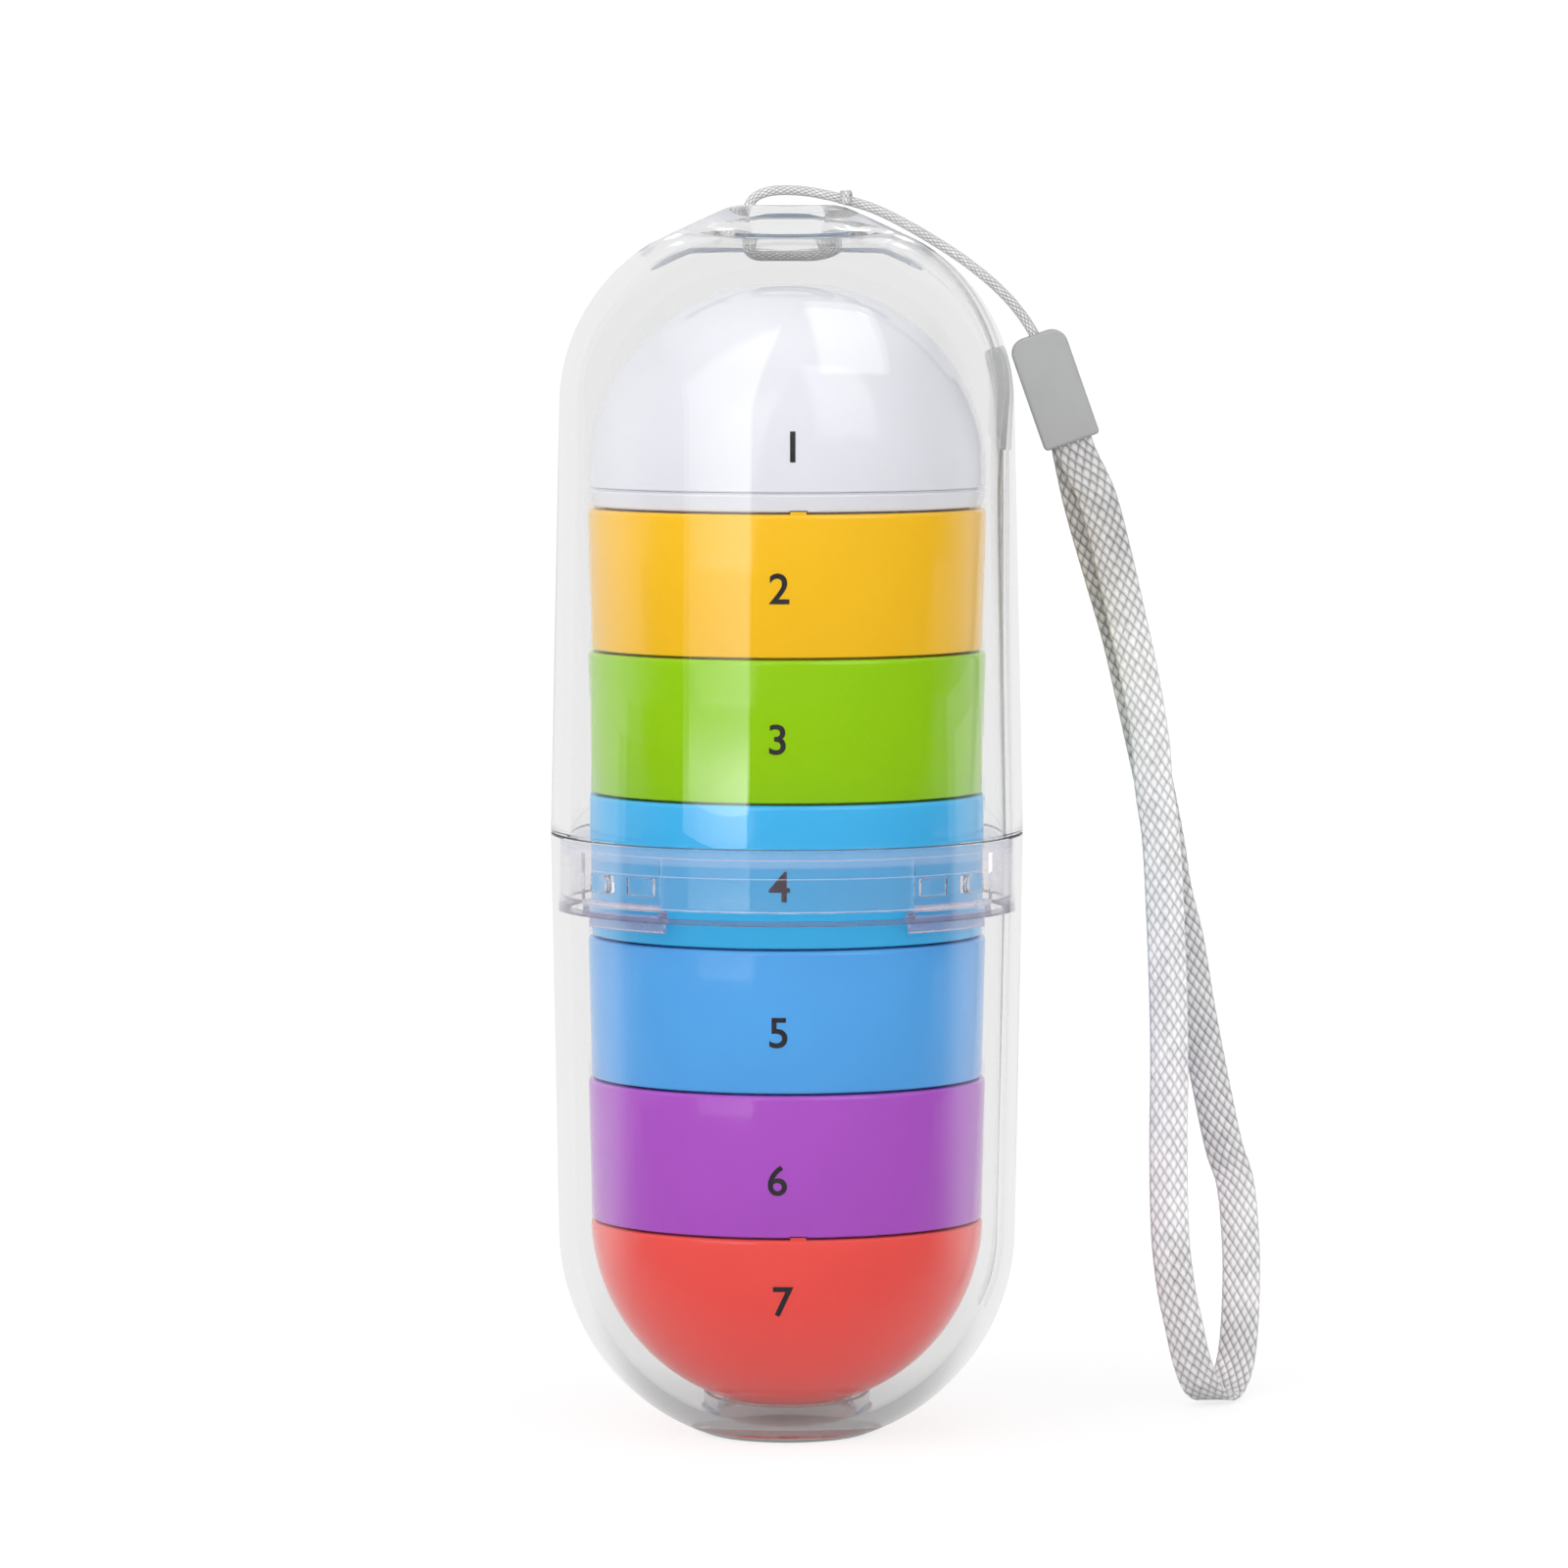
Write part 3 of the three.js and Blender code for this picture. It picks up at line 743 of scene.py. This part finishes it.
# %% Upper shell
SKIRT_END, SKIRT_RADIUS, SKIRT_INSIDE = 59.7, 24.85, 24.0
CAP_CURVE, CAP_CENTRE, SHOULDER = 21, 4.0, 113.32
ROOF, CROWN = 130.9, 135.426
CROWN_FLAT = 6.4
ROOF_ANGLE = math.degrees(math.asin((ROOF - SHOULDER) / (CAP_CURVE - SHELL_WALL)))
BAR_WIDTH, SLOT_WIDTH, SLOT_END = 7.0, 5.6, 12.4
FINGER_MIDDLES = [-137.5, -42.5, 42.5, 137.5]
FINGER_HALF = 14
PAD_SIZE, PAD_PLACE, PAD_ANGLE = (0.9, 3.6, 2.0), (23.85, 0, 62.1), 7.3
SLIT_SIZE, SLIT_PLACE, SLIT_ANGLE = (2.4, 0.06, 6.4), (24.2, 0, 62.0), FINGER_HALF + 0.4


def turn_about_axis(bm, angle):
    turn = Matrix.Rotation(math.radians(angle), 3, "Z")
    bmesh.ops.rotate(bm, verts=bm.verts, cent=(0, 0, 0), matrix=turn)


def block(size, place, turn=0, rounding=0):
    """A box of a given size, turned round the axis by an angle in degrees."""
    bm = bmesh.new()
    bmesh.ops.create_cube(bm, size=1)
    bmesh.ops.scale(bm, vec=size, verts=bm.verts)
    if rounding:
        bevel(bm, list(bm.edges), offset=rounding, segments=2)
    bmesh.ops.translate(bm, verts=bm.verts, vec=place)
    turn_about_axis(bm, turn)
    return bm


def wedge_turned(outline, middle, half, steps):
    """A closed outline spun through part of a turn, with its ends closed."""
    bm = bmesh.new()
    face = bm.faces.new([bm.verts.new((radius, 0, height)) for radius, height in outline])
    turn_about_axis(bm, middle - half)
    bmesh.ops.spin(
        bm,
        geom=[face, *face.edges, *face.verts],
        cent=(0, 0, 0),
        axis=(0, 0, 1),
        angle=math.radians(2 * half),
        steps=steps,
    )
    bmesh.ops.holes_fill(bm, edges=[e for e in bm.edges if e.is_boundary], sides=0)
    bmesh.ops.recalc_face_normals(bm, faces=bm.faces)
    return bm


def slot_cutter(side):
    """A tall prism with one straight end, at the bar, and one round end."""
    bm = bmesh.new()
    half, bar, end = SLOT_WIDTH / 2, BAR_WIDTH / 2, (SLOT_END, 0)
    outline = [(bar, -half), *arc(end, half, -90, 90, 16), (bar, half)]
    face = bm.faces.new([bm.verts.new((side * x, y, SHOULDER)) for x, y in outline])
    top = bmesh.ops.extrude_face_region(bm, geom=[face])["geom"]
    bmesh.ops.translate(bm, verts=verts_of(top), vec=(0, 0, 30))
    bmesh.ops.recalc_face_normals(bm, faces=bm.faces)
    return bm


cap_outline = [
    (SKIRT_INSIDE, SKIRT_END + 0.15),
    (SKIRT_INSIDE + 0.12, SKIRT_END),
    (SKIRT_RADIUS - 0.2, SKIRT_END),
    (SKIRT_RADIUS, SKIRT_END + 0.3),
    (SKIRT_RADIUS, SPLIT - 0.02),
    (SKIRT_RADIUS + 0.1, SPLIT + 0.08),
    (CASE_RADIUS - 0.08, SPLIT + 0.08),
    (CASE_RADIUS, SPLIT + 0.16),
    *arc((CAP_CENTRE, SHOULDER), CAP_CURVE, 0, 63, 36),
    *arc((CROWN_FLAT - 1.0, CROWN - 5.03), 5.0, 64, 90, 5),
    (0, CROWN),
    (0, ROOF),
    *arc((CAP_CENTRE, SHOULDER), CAP_CURVE - SHELL_WALL, ROOF_ANGLE, 0, 36),
]
cap = turned(cap_outline)
for side in (-1, 1):
    cap = combined(cap, slot_cutter(side), "DIFFERENCE")
finger_outline = [
    (SKIRT_RADIUS, 58.7),
    (SKIRT_RADIUS, 65.2),
    (SKIRT_INSIDE, 65.2),
    (SKIRT_INSIDE, 60.2),
    (23.1, 59.4),
    (23.1, 57.3),
    (23.2, 57.2),
    (23.4, 57.2),
    (23.4, 58.6),
    (SKIRT_RADIUS - 0.1, 58.6),
]
for middle in FINGER_MIDDLES:
    cap = combined(cap, wedge_turned(finger_outline, middle, FINGER_HALF, 14), "UNION")
    for side in (-1, 1):
        pad = block(PAD_SIZE, PAD_PLACE, middle + side * PAD_ANGLE, rounding=0.28)
        cap = combined(cap, pad, "UNION")
        slit = block(SLIT_SIZE, SLIT_PLACE, middle + side * SLIT_ANGLE)
        cap = combined(cap, slit, "DIFFERENCE")
piece_from(cap, "clear_cap_shell", clear_plastic, "case_cap", ["case_cap"])

# %% [markdown]
# ### Haze, frost, and painted shade at the parting line and the ledge
#
# Where the skirt sits in the collar, four polished faces lie close together and the plastic looks
# milky, with a brighter band under the rim and fine lines of the mould. The finger tips, the foot and
# the floor above it are left matt. A dark hairline of painted shade marks where the two shells meet,
# and another the ledge that the skirt stops above: dark skins where little light comes through.
# Each of these is a thin skin that is only partly there: its Alpha follows the height and some noise.


# %% Skins of haze and frost
def skin_finish(name, colour, share, patches, bands=(), band_colour=None):
    """A partly clear skin. Each band is a middle height, a half width and an added share."""
    finish = new_finish(name)
    place = finish.add("TexCoord", output="Object")
    height = finish.add("SeparateXYZ", sockets={0: place}).output("Z") / MM
    cloud = finish.noise(place, 260)
    grit = finish.noise(place, 2600)
    alpha = ((cloud + grit) / 2 - 0.5) * patches + share
    if bands:
        banded = 0
        for middle, half, added in bands:
            off = (height - middle).math("ABSOLUTE")
            banded = finish.smooth_range(off, half * 0.7, half * 1.3, 1.0, 0.0) * added + banded
        alpha = alpha + banded
        colour = finish.mix_colour((banded * 8).math("MINIMUM", 1), colour, band_colour)
    bump = finish.add("Bump", sockets={"Strength": 0.4, "Distance": 0.03 * MM, "Height": grit})
    surface = finish.add(
        "BsdfPrincipled",
        sockets={
            "Base Color": colour,
            "Roughness": 0.5,
            "Alpha": alpha.math("MAXIMUM", 0),
            "Normal": bump,
        },
    )
    return finish.show(surface)


def ring_skin(name, finish, body, inside, outside, bottom, top):
    outline = [(inside, bottom), (outside, bottom), (outside, top), (inside, top)]
    piece_from(turned(outline), name, finish, body)


collar_haze = skin_finish(
    "collar_haze",
    from_srgb(240, 205, 230),
    share=0.04,
    patches=0.04,
    bands=[(65.45, 0.85, 0.09), (65.4, 0.05, 0.2), (63.4, 0.05, 0.2), (59.85, 0.06, 0.2)],
    band_colour=from_srgb(240, 232, 246),
)
ring_skin("collar_milk", collar_haze, "case_cap", 24.87, 24.93, SKIRT_END + 0.05, SPLIT - 0.2)
# Painted shade: dark skins stand for the shade at the parting line and at the ledge.
parting_shade = skin_finish("parting_shade", from_srgb(52, 54, 58), share=0.4, patches=0.2)
ring_skin("parting_line", parting_shade, "case_base", 25.2, 25.94, SPLIT - 0.05, SPLIT + 0.05)
ledge_shade = skin_finish("ledge_shade", from_srgb(112, 104, 140), share=0.3, patches=0.15)
ring_skin("ledge_line", ledge_shade, "case_base", 24.2, 25.12, LEDGE + 0.02, LEDGE + 0.55)

foot_frost = skin_finish("foot_frost", from_srgb(205, 205, 206), share=0.85, patches=0.3)
foot_outline = [(1.9, 0.06), (8.95, 0.06), (10.4, 0.62), (10.35, 0.7), (8.9, 0.14), (1.9, 0.14)]
piece_from(turned(foot_outline), "foot_matt", foot_frost, "case_base")
ring_skin("floor_matt", foot_frost, "case_base", 0.2, 8.9, FLOOR_HEIGHT - 0.18, FLOOR_HEIGHT - 0.1)

finger_frost = skin_finish("finger_frost", from_srgb(190, 180, 214), share=0.3, patches=0.6)
tip_outline = [
    (24.93, 59.1),
    (23.3, 59.1),
    (23.02, 58.9),
    (23.02, 57.12),
    (23.48, 57.12),
    (23.48, 58.5),
    (24.93, 58.5),
]
for i, middle in enumerate(FINGER_MIDDLES):
    tip = wedge_turned(tip_outline, middle, FINGER_HALF + 0.15, 14)
    piece_from(tip, f"finger_tip_{i + 1}", finger_frost, "case_cap")

# %% [markdown]
# ## The pill boxes
#
# Each box is a thin moulded cup. Its wall leans out a little towards the rim, so the rim of each box
# stands proud of the one above and catches the light. A plug ring under it seats in the box below.
# The plastic is glossy but lets some light in.

# %% Box plastic and profiles
RIM_RADIUS, FOOT_EDGE, SEAT_RADIUS, PLUG_RADIUS = 21.88, 21.53, 20.1, 19.8
PITCH, SEAM = 15.65, 0.25
STACK_HEIGHT = 24.35
PLUG_DEPTH = 1.8


def gloss_plastic(name, colour, roughness=0.1):
    """Glossy moulded plastic that lets a little light in."""
    finish = new_finish(name)
    place = finish.add("TexCoord", output="Object")
    flow = finish.noise(place, 90)
    fine = finish.noise(place, 1500)
    deeper = tuple(level * 0.93 for level in colour[:3]) + (1,)
    bump = finish.add("Bump", sockets={"Strength": 0.06, "Distance": 0.01 * MM, "Height": fine})
    surface = finish.add(
        "BsdfPrincipled",
        sockets={
            "Base Color": finish.mix_colour(flow, deeper, colour),
            "Roughness": flow * 0.05 + roughness,
            "Normal": bump,
            "Subsurface Weight": 0.12,
            "Subsurface Radius": (1.0, 0.7, 0.6),
            "Subsurface Scale": 1.2 * MM,
        },
    )
    return finish.show(surface)


def plug_outline():
    """The ring under a piece that seats in the box below it."""
    inside = PLUG_RADIUS - 1.2
    return [
        (0, 0),
        (inside, 0),
        (inside, -PLUG_DEPTH),
        (PLUG_RADIUS - 0.3, -PLUG_DEPTH),
        (PLUG_RADIUS, -PLUG_DEPTH + 0.3),
        (PLUG_RADIUS, 0),
    ]


def cup_outline():
    rim = PITCH - SEAM
    return [
        *plug_outline(),
        (FOOT_EDGE - 0.2, 0),
        (FOOT_EDGE - 0.06, 0.06),
        (FOOT_EDGE, 0.2),
        (RIM_RADIUS, rim - 0.55),
        (RIM_RADIUS - 0.06, rim - 0.26),
        (RIM_RADIUS - 0.22, rim - 0.08),
        (RIM_RADIUS - 0.45, rim),
        (SEAT_RADIUS + 0.1, rim),
        (SEAT_RADIUS, rim - 0.1),
        (FOOT_EDGE - 1.5, 2.2),
        (FOOT_EDGE - 2.2, 1.5),
        (0, 1.5),
    ]


# %% [markdown]
# ### The five cups
#
# They are one shape in five colours, stacked a pitch apart. On the rim of the topmost stands a small
# locating key, and the lowest has the notch that such a key fits.

# %% Boxes
KEY_ANGLE = -86.8
BOX_COLOURS = [
    ("purple", (172, 84, 196)),
    ("blue", (86, 166, 234)),
    ("sky_blue", (66, 180, 236)),
    ("green", (146, 202, 4)),
    ("yellow", (247, 192, 30)),
]


def rim_key(edge, rim):
    """A small locating key that stands on a rim and bridges the seam."""
    return block((0.8, 1.7, 0.62), (edge - 0.72, 0, rim - 0.03), KEY_ANGLE, 0.08)


def key_notch(edge, lower):
    return block((2.5, 1.86, 0.2), (edge - 0.25, 0, lower + 0.07), KEY_ANGLE)


for i, (colour_name, level) in enumerate(BOX_COLOURS):
    foot = STACK_HEIGHT + i * PITCH
    cup = turned(cup_outline(), foot)
    if colour_name == "purple":
        cup = combined(cup, key_notch(FOOT_EDGE, foot), "DIFFERENCE")
    if colour_name == "yellow":
        cup = combined(cup, rim_key(RIM_RADIUS, foot + PITCH - SEAM), "UNION")
    piece_from(
        cup,
        f"{colour_name}_cup",
        gloss_plastic(f"{colour_name}_gloss", from_srgb(*level)),
        f"box_{colour_name}",
        [f"box_{colour_name}"],
    )

# %% [markdown]
# ### The bowl
#
# The lowest box has a round bottom, so that the stack fills the capsule's end. It is spun like the
# others, from arcs round the bowl's centre, and its rim carries the key for the box above.

# %% Bowl
BOWL_EDGE = BOWL_RADIUS + BOWL_OFFSET
seat_depth = PLUG_DEPTH + 0.3
bowl_inside = BOWL_RADIUS - 1.5
seat_angle = -math.degrees(math.asin(seat_depth / bowl_inside))
bowl_outline = [
    (0, -BOWL_RADIUS),
    *arc((BOWL_OFFSET, 0), BOWL_RADIUS, -90, -1.6, 44),
    (BOWL_EDGE - 0.05, -0.25),
    (BOWL_EDGE - 0.2, -0.07),
    (BOWL_EDGE - 0.4, 0),
    (SEAT_RADIUS, 0),
    (SEAT_RADIUS, -seat_depth),
    *arc((0, 0), bowl_inside, seat_angle, -90, 36),
]
bowl = combined(turned(bowl_outline, BOWL_HEIGHT), rim_key(BOWL_EDGE, BOWL_HEIGHT), "UNION")
red_gloss = gloss_plastic("red_gloss", from_srgb(238, 84, 78))
piece_from(bowl, "red_bowl", red_gloss, "box_red", ["box_red"])

# %% [markdown]
# ### The dome lid and its tray
#
# The top box is white: a shallow tray that closes the box below it, and a tall dome that is pressed
# over the tray's raised ring. Both are the glossiest of the boxes.

# %% Tray and dome
TRAY_BAND, TRAY_RISE = 1.85, 2.8
DOME_WALL, DOME_END = 1.5, 80
TRAY_HEIGHT = STACK_HEIGHT + 5 * PITCH
LID_HEIGHT = TRAY_HEIGHT + TRAY_BAND + SEAM
DOME_SIDE, DOME_CURVE = 1.45, 20.9
white_gloss = gloss_plastic("white_gloss", from_srgb(226, 227, 234), roughness=0.05)
tray_outline = [
    *plug_outline(),
    (FOOT_EDGE - 0.15, 0),
    (FOOT_EDGE, 0.15),
    (RIM_RADIUS, TRAY_BAND - 0.15),
    (RIM_RADIUS - 0.15, TRAY_BAND),
    (RIM_RADIUS - 0.3, TRAY_BAND),
    (RIM_RADIUS - 0.3, TRAY_BAND + SEAM - 0.04),
    (PLUG_RADIUS, TRAY_BAND + SEAM - 0.04),
    (PLUG_RADIUS, TRAY_BAND + TRAY_RISE),
    (PLUG_RADIUS - 1.2, TRAY_BAND + TRAY_RISE),
    (PLUG_RADIUS - 1.2, 1.5),
    (0, 1.5),
]
tray = combined(turned(tray_outline, TRAY_HEIGHT), key_notch(RIM_RADIUS, TRAY_HEIGHT), "DIFFERENCE")
piece_from(tray, "white_tray", white_gloss, "top_tray", ["top_tray"])

dome_centre = (RIM_RADIUS - DOME_CURVE, DOME_SIDE)
dome_top = DOME_SIDE + DOME_CURVE * math.sin(math.radians(DOME_END)) + 0.2
dome_outline = [
    (RIM_RADIUS - 0.15, 0),
    (RIM_RADIUS, 0.15),
    *arc(dome_centre, DOME_CURVE, 0, DOME_END, 44),
    (2.4, dome_top - 0.05),
    (0, dome_top),
    (0, dome_top - DOME_WALL),
    (2.4, dome_top - DOME_WALL - 0.05),
    *arc(dome_centre, DOME_CURVE - DOME_WALL, DOME_END, 0, 32),
    (SEAT_RADIUS, 0),
]
dome = turned(dome_outline, LID_HEIGHT)
piece_from(dome, "white_dome", white_gloss, "dome_lid", ["dome_lid"])

# %% [markdown]
# ## The printed numbers
#
# Each box carries one printed number, from 1 on the dome to 7 on the bowl. A text object becomes a
# thin mesh, is cut into narrow strips so that it can bend, and each of its points is dropped onto
# the box from the front.

# %% Numbers
NUMBER_HEIGHT, STRIP_WIDTH = 3.3, 0.22
INK_THICKNESS = 0.03
NUMBERS = [
    ("1", "white_dome", "dome_lid", 0.6, 109.6),
    ("2", "yellow_cup", "box_yellow", -0.8, 94.4),
    ("3", "green_cup", "box_green", -1.0, 78.2),
    ("4", "sky_blue_cup", "box_sky_blue", -0.8, 62.4),
    ("5", "blue_cup", "box_blue", -0.9, 46.6),
    ("6", "purple_cup", "box_purple", -1.0, 30.6),
    ("7", "red_bowl", "box_red", -0.4, 17.4),
]


def ink_finish():
    finish = new_finish("print_ink")
    place = finish.add("TexCoord", output="Object")
    worn = finish.noise(place, 2500, 3)
    colour = finish.mix_colour(worn, from_srgb(28, 24, 30), from_srgb(52, 46, 52))
    surface = finish.add("BsdfPrincipled", sockets={"Base Color": colour, "Roughness": worn * 0.2 + 0.35})
    return finish.show(surface)


print_ink = ink_finish()
for digit, carrier, body, middle, height in NUMBERS:
    text = bpy.data.curves.new("digit", "FONT")
    text.body, text.size, text.offset = digit, 1, 0.012
    writer = bpy.data.objects.new("digit", text)
    bpy.context.scene.collection.objects.link(writer)
    bm = bmesh.new()
    bm.from_mesh(writer.evaluated_get(bpy.context.evaluated_depsgraph_get()).to_mesh())
    bpy.data.curves.remove(text)
    xs, ys = [v.co.x for v in bm.verts], [v.co.y for v in bm.verts]
    grow = NUMBER_HEIGHT / (max(ys) - min(ys))
    centre = Vector(((min(xs) + max(xs)) / 2, (min(ys) + max(ys)) / 2, 0))
    bmesh.ops.translate(bm, verts=bm.verts, vec=-centre)
    bmesh.ops.scale(bm, vec=(grow, grow, 1), verts=bm.verts)
    for cut in range(-8, 9):
        for normal in ((1, 0, 0), (0, 1, 0)):
            parts = bm.verts[:] + bm.edges[:] + bm.faces[:]
            at = Vector(normal) * cut * STRIP_WIDTH
            bmesh.ops.bisect_plane(bm, geom=parts, plane_co=at, plane_no=normal)
    bmesh.ops.remove_doubles(bm, verts=bm.verts, dist=0.001)
    carrier_bm = bmesh.new()
    carrier_bm.from_mesh(bpy.data.objects[carrier].data)
    bmesh.ops.scale(carrier_bm, vec=(1 / MM,) * 3, verts=carrier_bm.verts)
    surface = BVHTree.FromBMesh(carrier_bm)
    carrier_bm.free()
    drop = {}
    for vert in bm.verts:
        start = Vector((vert.co.x + middle, -60, vert.co.y + height))
        drop[vert] = surface.ray_cast(start, Y_AXIS)[0]
    for vert, place in drop.items():
        vert.co = place - Y_AXIS * INK_THICKNESS
    under = bmesh.ops.extrude_face_region(bm, geom=bm.faces[:])["geom"]
    bmesh.ops.translate(bm, verts=verts_of(under), vec=Y_AXIS * INK_THICKNESS * 2)
    piece_from(bm, f"number_{digit}", print_ink, body)

# %% [markdown]
# ## The studio
#
# The floor runs up into a backdrop without a seam. To the camera, and to rays that the case bends or
# mirrors, it is white, and the lamps' part of that white falls away in the shadow. In front of the
# case the room is dim: what the case mirrors there stays dark, so no haze lies over the colours.
# Rays that the case bends find the floor a little greyer under the foot, where no light reaches it.

# %% Floor and backdrop
DIM_LEVEL, BENT_LEVEL, FOOT_LEVEL = 0.05, 0.83, 0.52
BENT_SHARE = 0.8
NEAR_GLOW, FAR_GLOW = 0.76, 0.73


def kinds_of_ray(path):
    """Which rays were bent or mirrored, which mirrored any number of times, and which just once."""
    bent = path.output("Is Transmission Ray").math("MAXIMUM", path.output("Is Glossy Ray"))
    mirrored = bent * (1 - (path.output("Glossy Depth") < 0.5))
    return bent, mirrored, mirrored * (path.output("Glossy Depth") < 1.5)


def backdrop_finish():
    finish = new_finish("studio_white")
    path = finish.add("LightPath", output="Is Camera Ray")
    bent, _, mirrored_once = kinds_of_ray(path)
    place = finish.add("TexCoord", output="Object")
    away = finish.add("VectorMath", {"operation": "LENGTH"}, {0: place}, output="Value")
    depth = finish.add("SeparateXYZ", sockets={0: place}).output("Y")
    dim = mirrored_once * finish.smooth_range(depth, 0.03, -0.05)
    cloudy = finish.noise(place, 3, 1)
    tone = finish.mix_colour(cloudy, (0.78, 0.78, 0.78, 1), (0.82, 0.82, 0.82, 1))
    paint = finish.add("BsdfDiffuse", sockets={"Color": tone})
    shade = finish.add("BsdfDiffuse", sockets={"Color": (0.258, 0.263, 0.263, 1)})
    glow = finish.glow(finish.smooth_range(away, 0.25, 1.6, NEAR_GLOW, FAR_GLOW))
    lit = finish.add("AddShader", sockets={0: shade, 1: glow})
    shown = finish.add("MixShader", sockets={0: path.math("MAXIMUM", bent), 1: paint, 2: lit})
    bent_white = finish.glow(finish.smooth_range(away, 0.006, 0.032, FOOT_LEVEL, BENT_LEVEL))
    shown = finish.add("MixShader", sockets={0: bent * BENT_SHARE, 1: shown, 2: bent_white})
    dark = finish.glow(DIM_LEVEL)
    return finish.show(finish.add("MixShader", sockets={0: dim, 1: shown, 2: dark}))


bm = bmesh.new()
bmesh.ops.create_grid(bm, x_segments=1, y_segments=1, size=2.0)
far_edge = max(bm.edges, key=lambda e: e.verts[0].co.y + e.verts[1].co.y)
wall = bmesh.ops.extrude_edge_only(bm, edges=[far_edge])["geom"]
bmesh.ops.translate(bm, verts=verts_of(wall), vec=(0, 0, 2.5))
bevel(bm, [far_edge], offset=0.6, segments=16)
mesh = bpy.data.meshes.new("studio_floor")
bm.to_mesh(mesh)
bm.free()
mesh.shade_smooth()
mesh.materials.append(backdrop_finish())
floor = bpy.data.objects.new("studio_floor", mesh)
bpy.context.scene.collection.objects.link(floor)

# %% [markdown]
# ### The lamps
#
# What the case mirrors and what lights it are set apart, so that each can be right. A tall bank at the
# left leans over the case: mirrored in the cap it draws the upright band. Its face is dimmer along its
# lower edge, its left side and its top. A softbox in front at the right shows on the cap as a window,
# with soft left and right edges. A third lamp, which nothing mirrors, throws the soft shadow.


# %% Lamps
def softbox(name, place, away, side, width, height, radiance):
    """A rectangular lamp: `away` points out of its back, and `side` along its width."""
    lamp = bpy.data.lights.new(name, "AREA")
    lamp.shape, lamp.size, lamp.size_y = "RECTANGLE", width, height
    lamp.energy = radiance * math.pi * width * height
    holder = bpy.data.objects.new(name, lamp)
    bpy.context.scene.collection.objects.link(holder)
    back = Vector(away).normalized()
    across = (Vector(side) - back * back.dot(Vector(side))).normalized()
    turn = Matrix((across, back.cross(across), back)).transposed()
    holder.matrix_world = Matrix.Translation(place) @ turn.to_4x4()
    print(f"{name}: {lamp.energy:.1f} W")
    return holder


def towards(azimuth, elevation):
    """A direction from the case. Azimuth 0 is the camera's side, and 90 the right."""
    across, up = math.radians(azimuth), math.radians(elevation)
    return Vector((math.sin(across) * math.cos(up), -math.cos(across) * math.cos(up), math.sin(up)))


def lamp_face(lamp):
    """A finish for a lamp, and where on its face a place is: across and up, each 0 to 1."""
    face = Finish(lamp.data)
    across = face.add("SeparateXYZ", sockets={0: face.add("NewGeometry", output="Parametric")})
    return face, across, across.output("Y")


UP = Vector((0, 0, 1))

away = towards(-35, 35)
bank_place = UP * 0.1 + away * 0.6
bank_side = away.cross(-UP)
bank = softbox("softbox_bank", bank_place, away, bank_side, width=0.446, height=1.0, radiance=5.4)
bank.visible_diffuse = False
face, across, rise = lamp_face(bank)
level = face.smooth_range(rise, -0.03, 0.02) * face.smooth_range(rise, 0.008, 0.03, 1.0, 0.3)
level = level * face.smooth_range(rise - across * 0.45, 0.23, 0.31, 1.0, 0.08)
level = level * (across * 0.55 + 0.45)
face.show(face.glow(level), "OutputLight")

window = softbox(
    "softbox_window",
    place=(0.368, -0.395, 0.635),
    away=(0.17, -0.908, 0.383),
    side=(0.976, 0.21, 0.064),
    width=0.524,
    height=0.606,
    radiance=2.0,
)
window.visible_diffuse = False
face, across, rise = lamp_face(window)
level = face.smooth_range(rise, 0.0, 1.0, 0.75, 1.0) * face.smooth_range(across, 0.0, 0.12)
level = level * face.smooth_range(across, 1.0, 0.9)
face.show(face.glow(level), "OutputLight")

away = towards(-48, 44)
key_place = UP * 0.08 + away * 0.8
key_side = away.cross(UP)
key = softbox("softbox_key", key_place, away, key_side, width=0.5, height=0.5, radiance=1.0)
key.visible_glossy = False
key.visible_transmission = False

# %% [markdown]
# ### The room
#
# The room itself is pale. It lights the case most from the camera's side, yet mirrored rays find it dim
# there, which keeps the fronts of the case and the boxes clear of haze.

# %% World
ROOM_LEVEL, ROOM_FRONT, ROOM_LEFT, ROOM_LEAST = 0.86, 1.0, 0.12, 0.3
BEHIND_LEVEL, INNER_LEVEL = 0.8, 0.78
world = bpy.data.worlds.new("studio")
bpy.context.scene.world = world
air = Finish(world)
path = air.add("LightPath", output="Is Camera Ray")
bent, mirrored, once = kinds_of_ray(path)
across = air.add("SeparateXYZ", sockets={0: air.add("TexCoord", output="Generated")})
depth, rise = across.output("Y"), across.output("Z")
once_level = air.smooth_range(depth - across * 0.15, -0.3, 0.35, DIM_LEVEL, BEHIND_LEVEL)
overhead = air.smooth_range(rise, 0.3, 0.75, DIM_LEVEL, BEHIND_LEVEL)
once_level = once_level.math("MAXIMUM", overhead)
room_level = (ROOM_LEVEL - depth * ROOM_FRONT - across * ROOM_LEFT).math("MAXIMUM", ROOM_LEAST)
level = path + (bent - mirrored) * BENT_LEVEL + once * once_level
level = level + (mirrored - once) * INNER_LEVEL + (1 - path - bent) * room_level
air.show(air.add("Background", sockets={"Color": (1, 1, 1, 1), "Strength": level}), "OutputWorld")
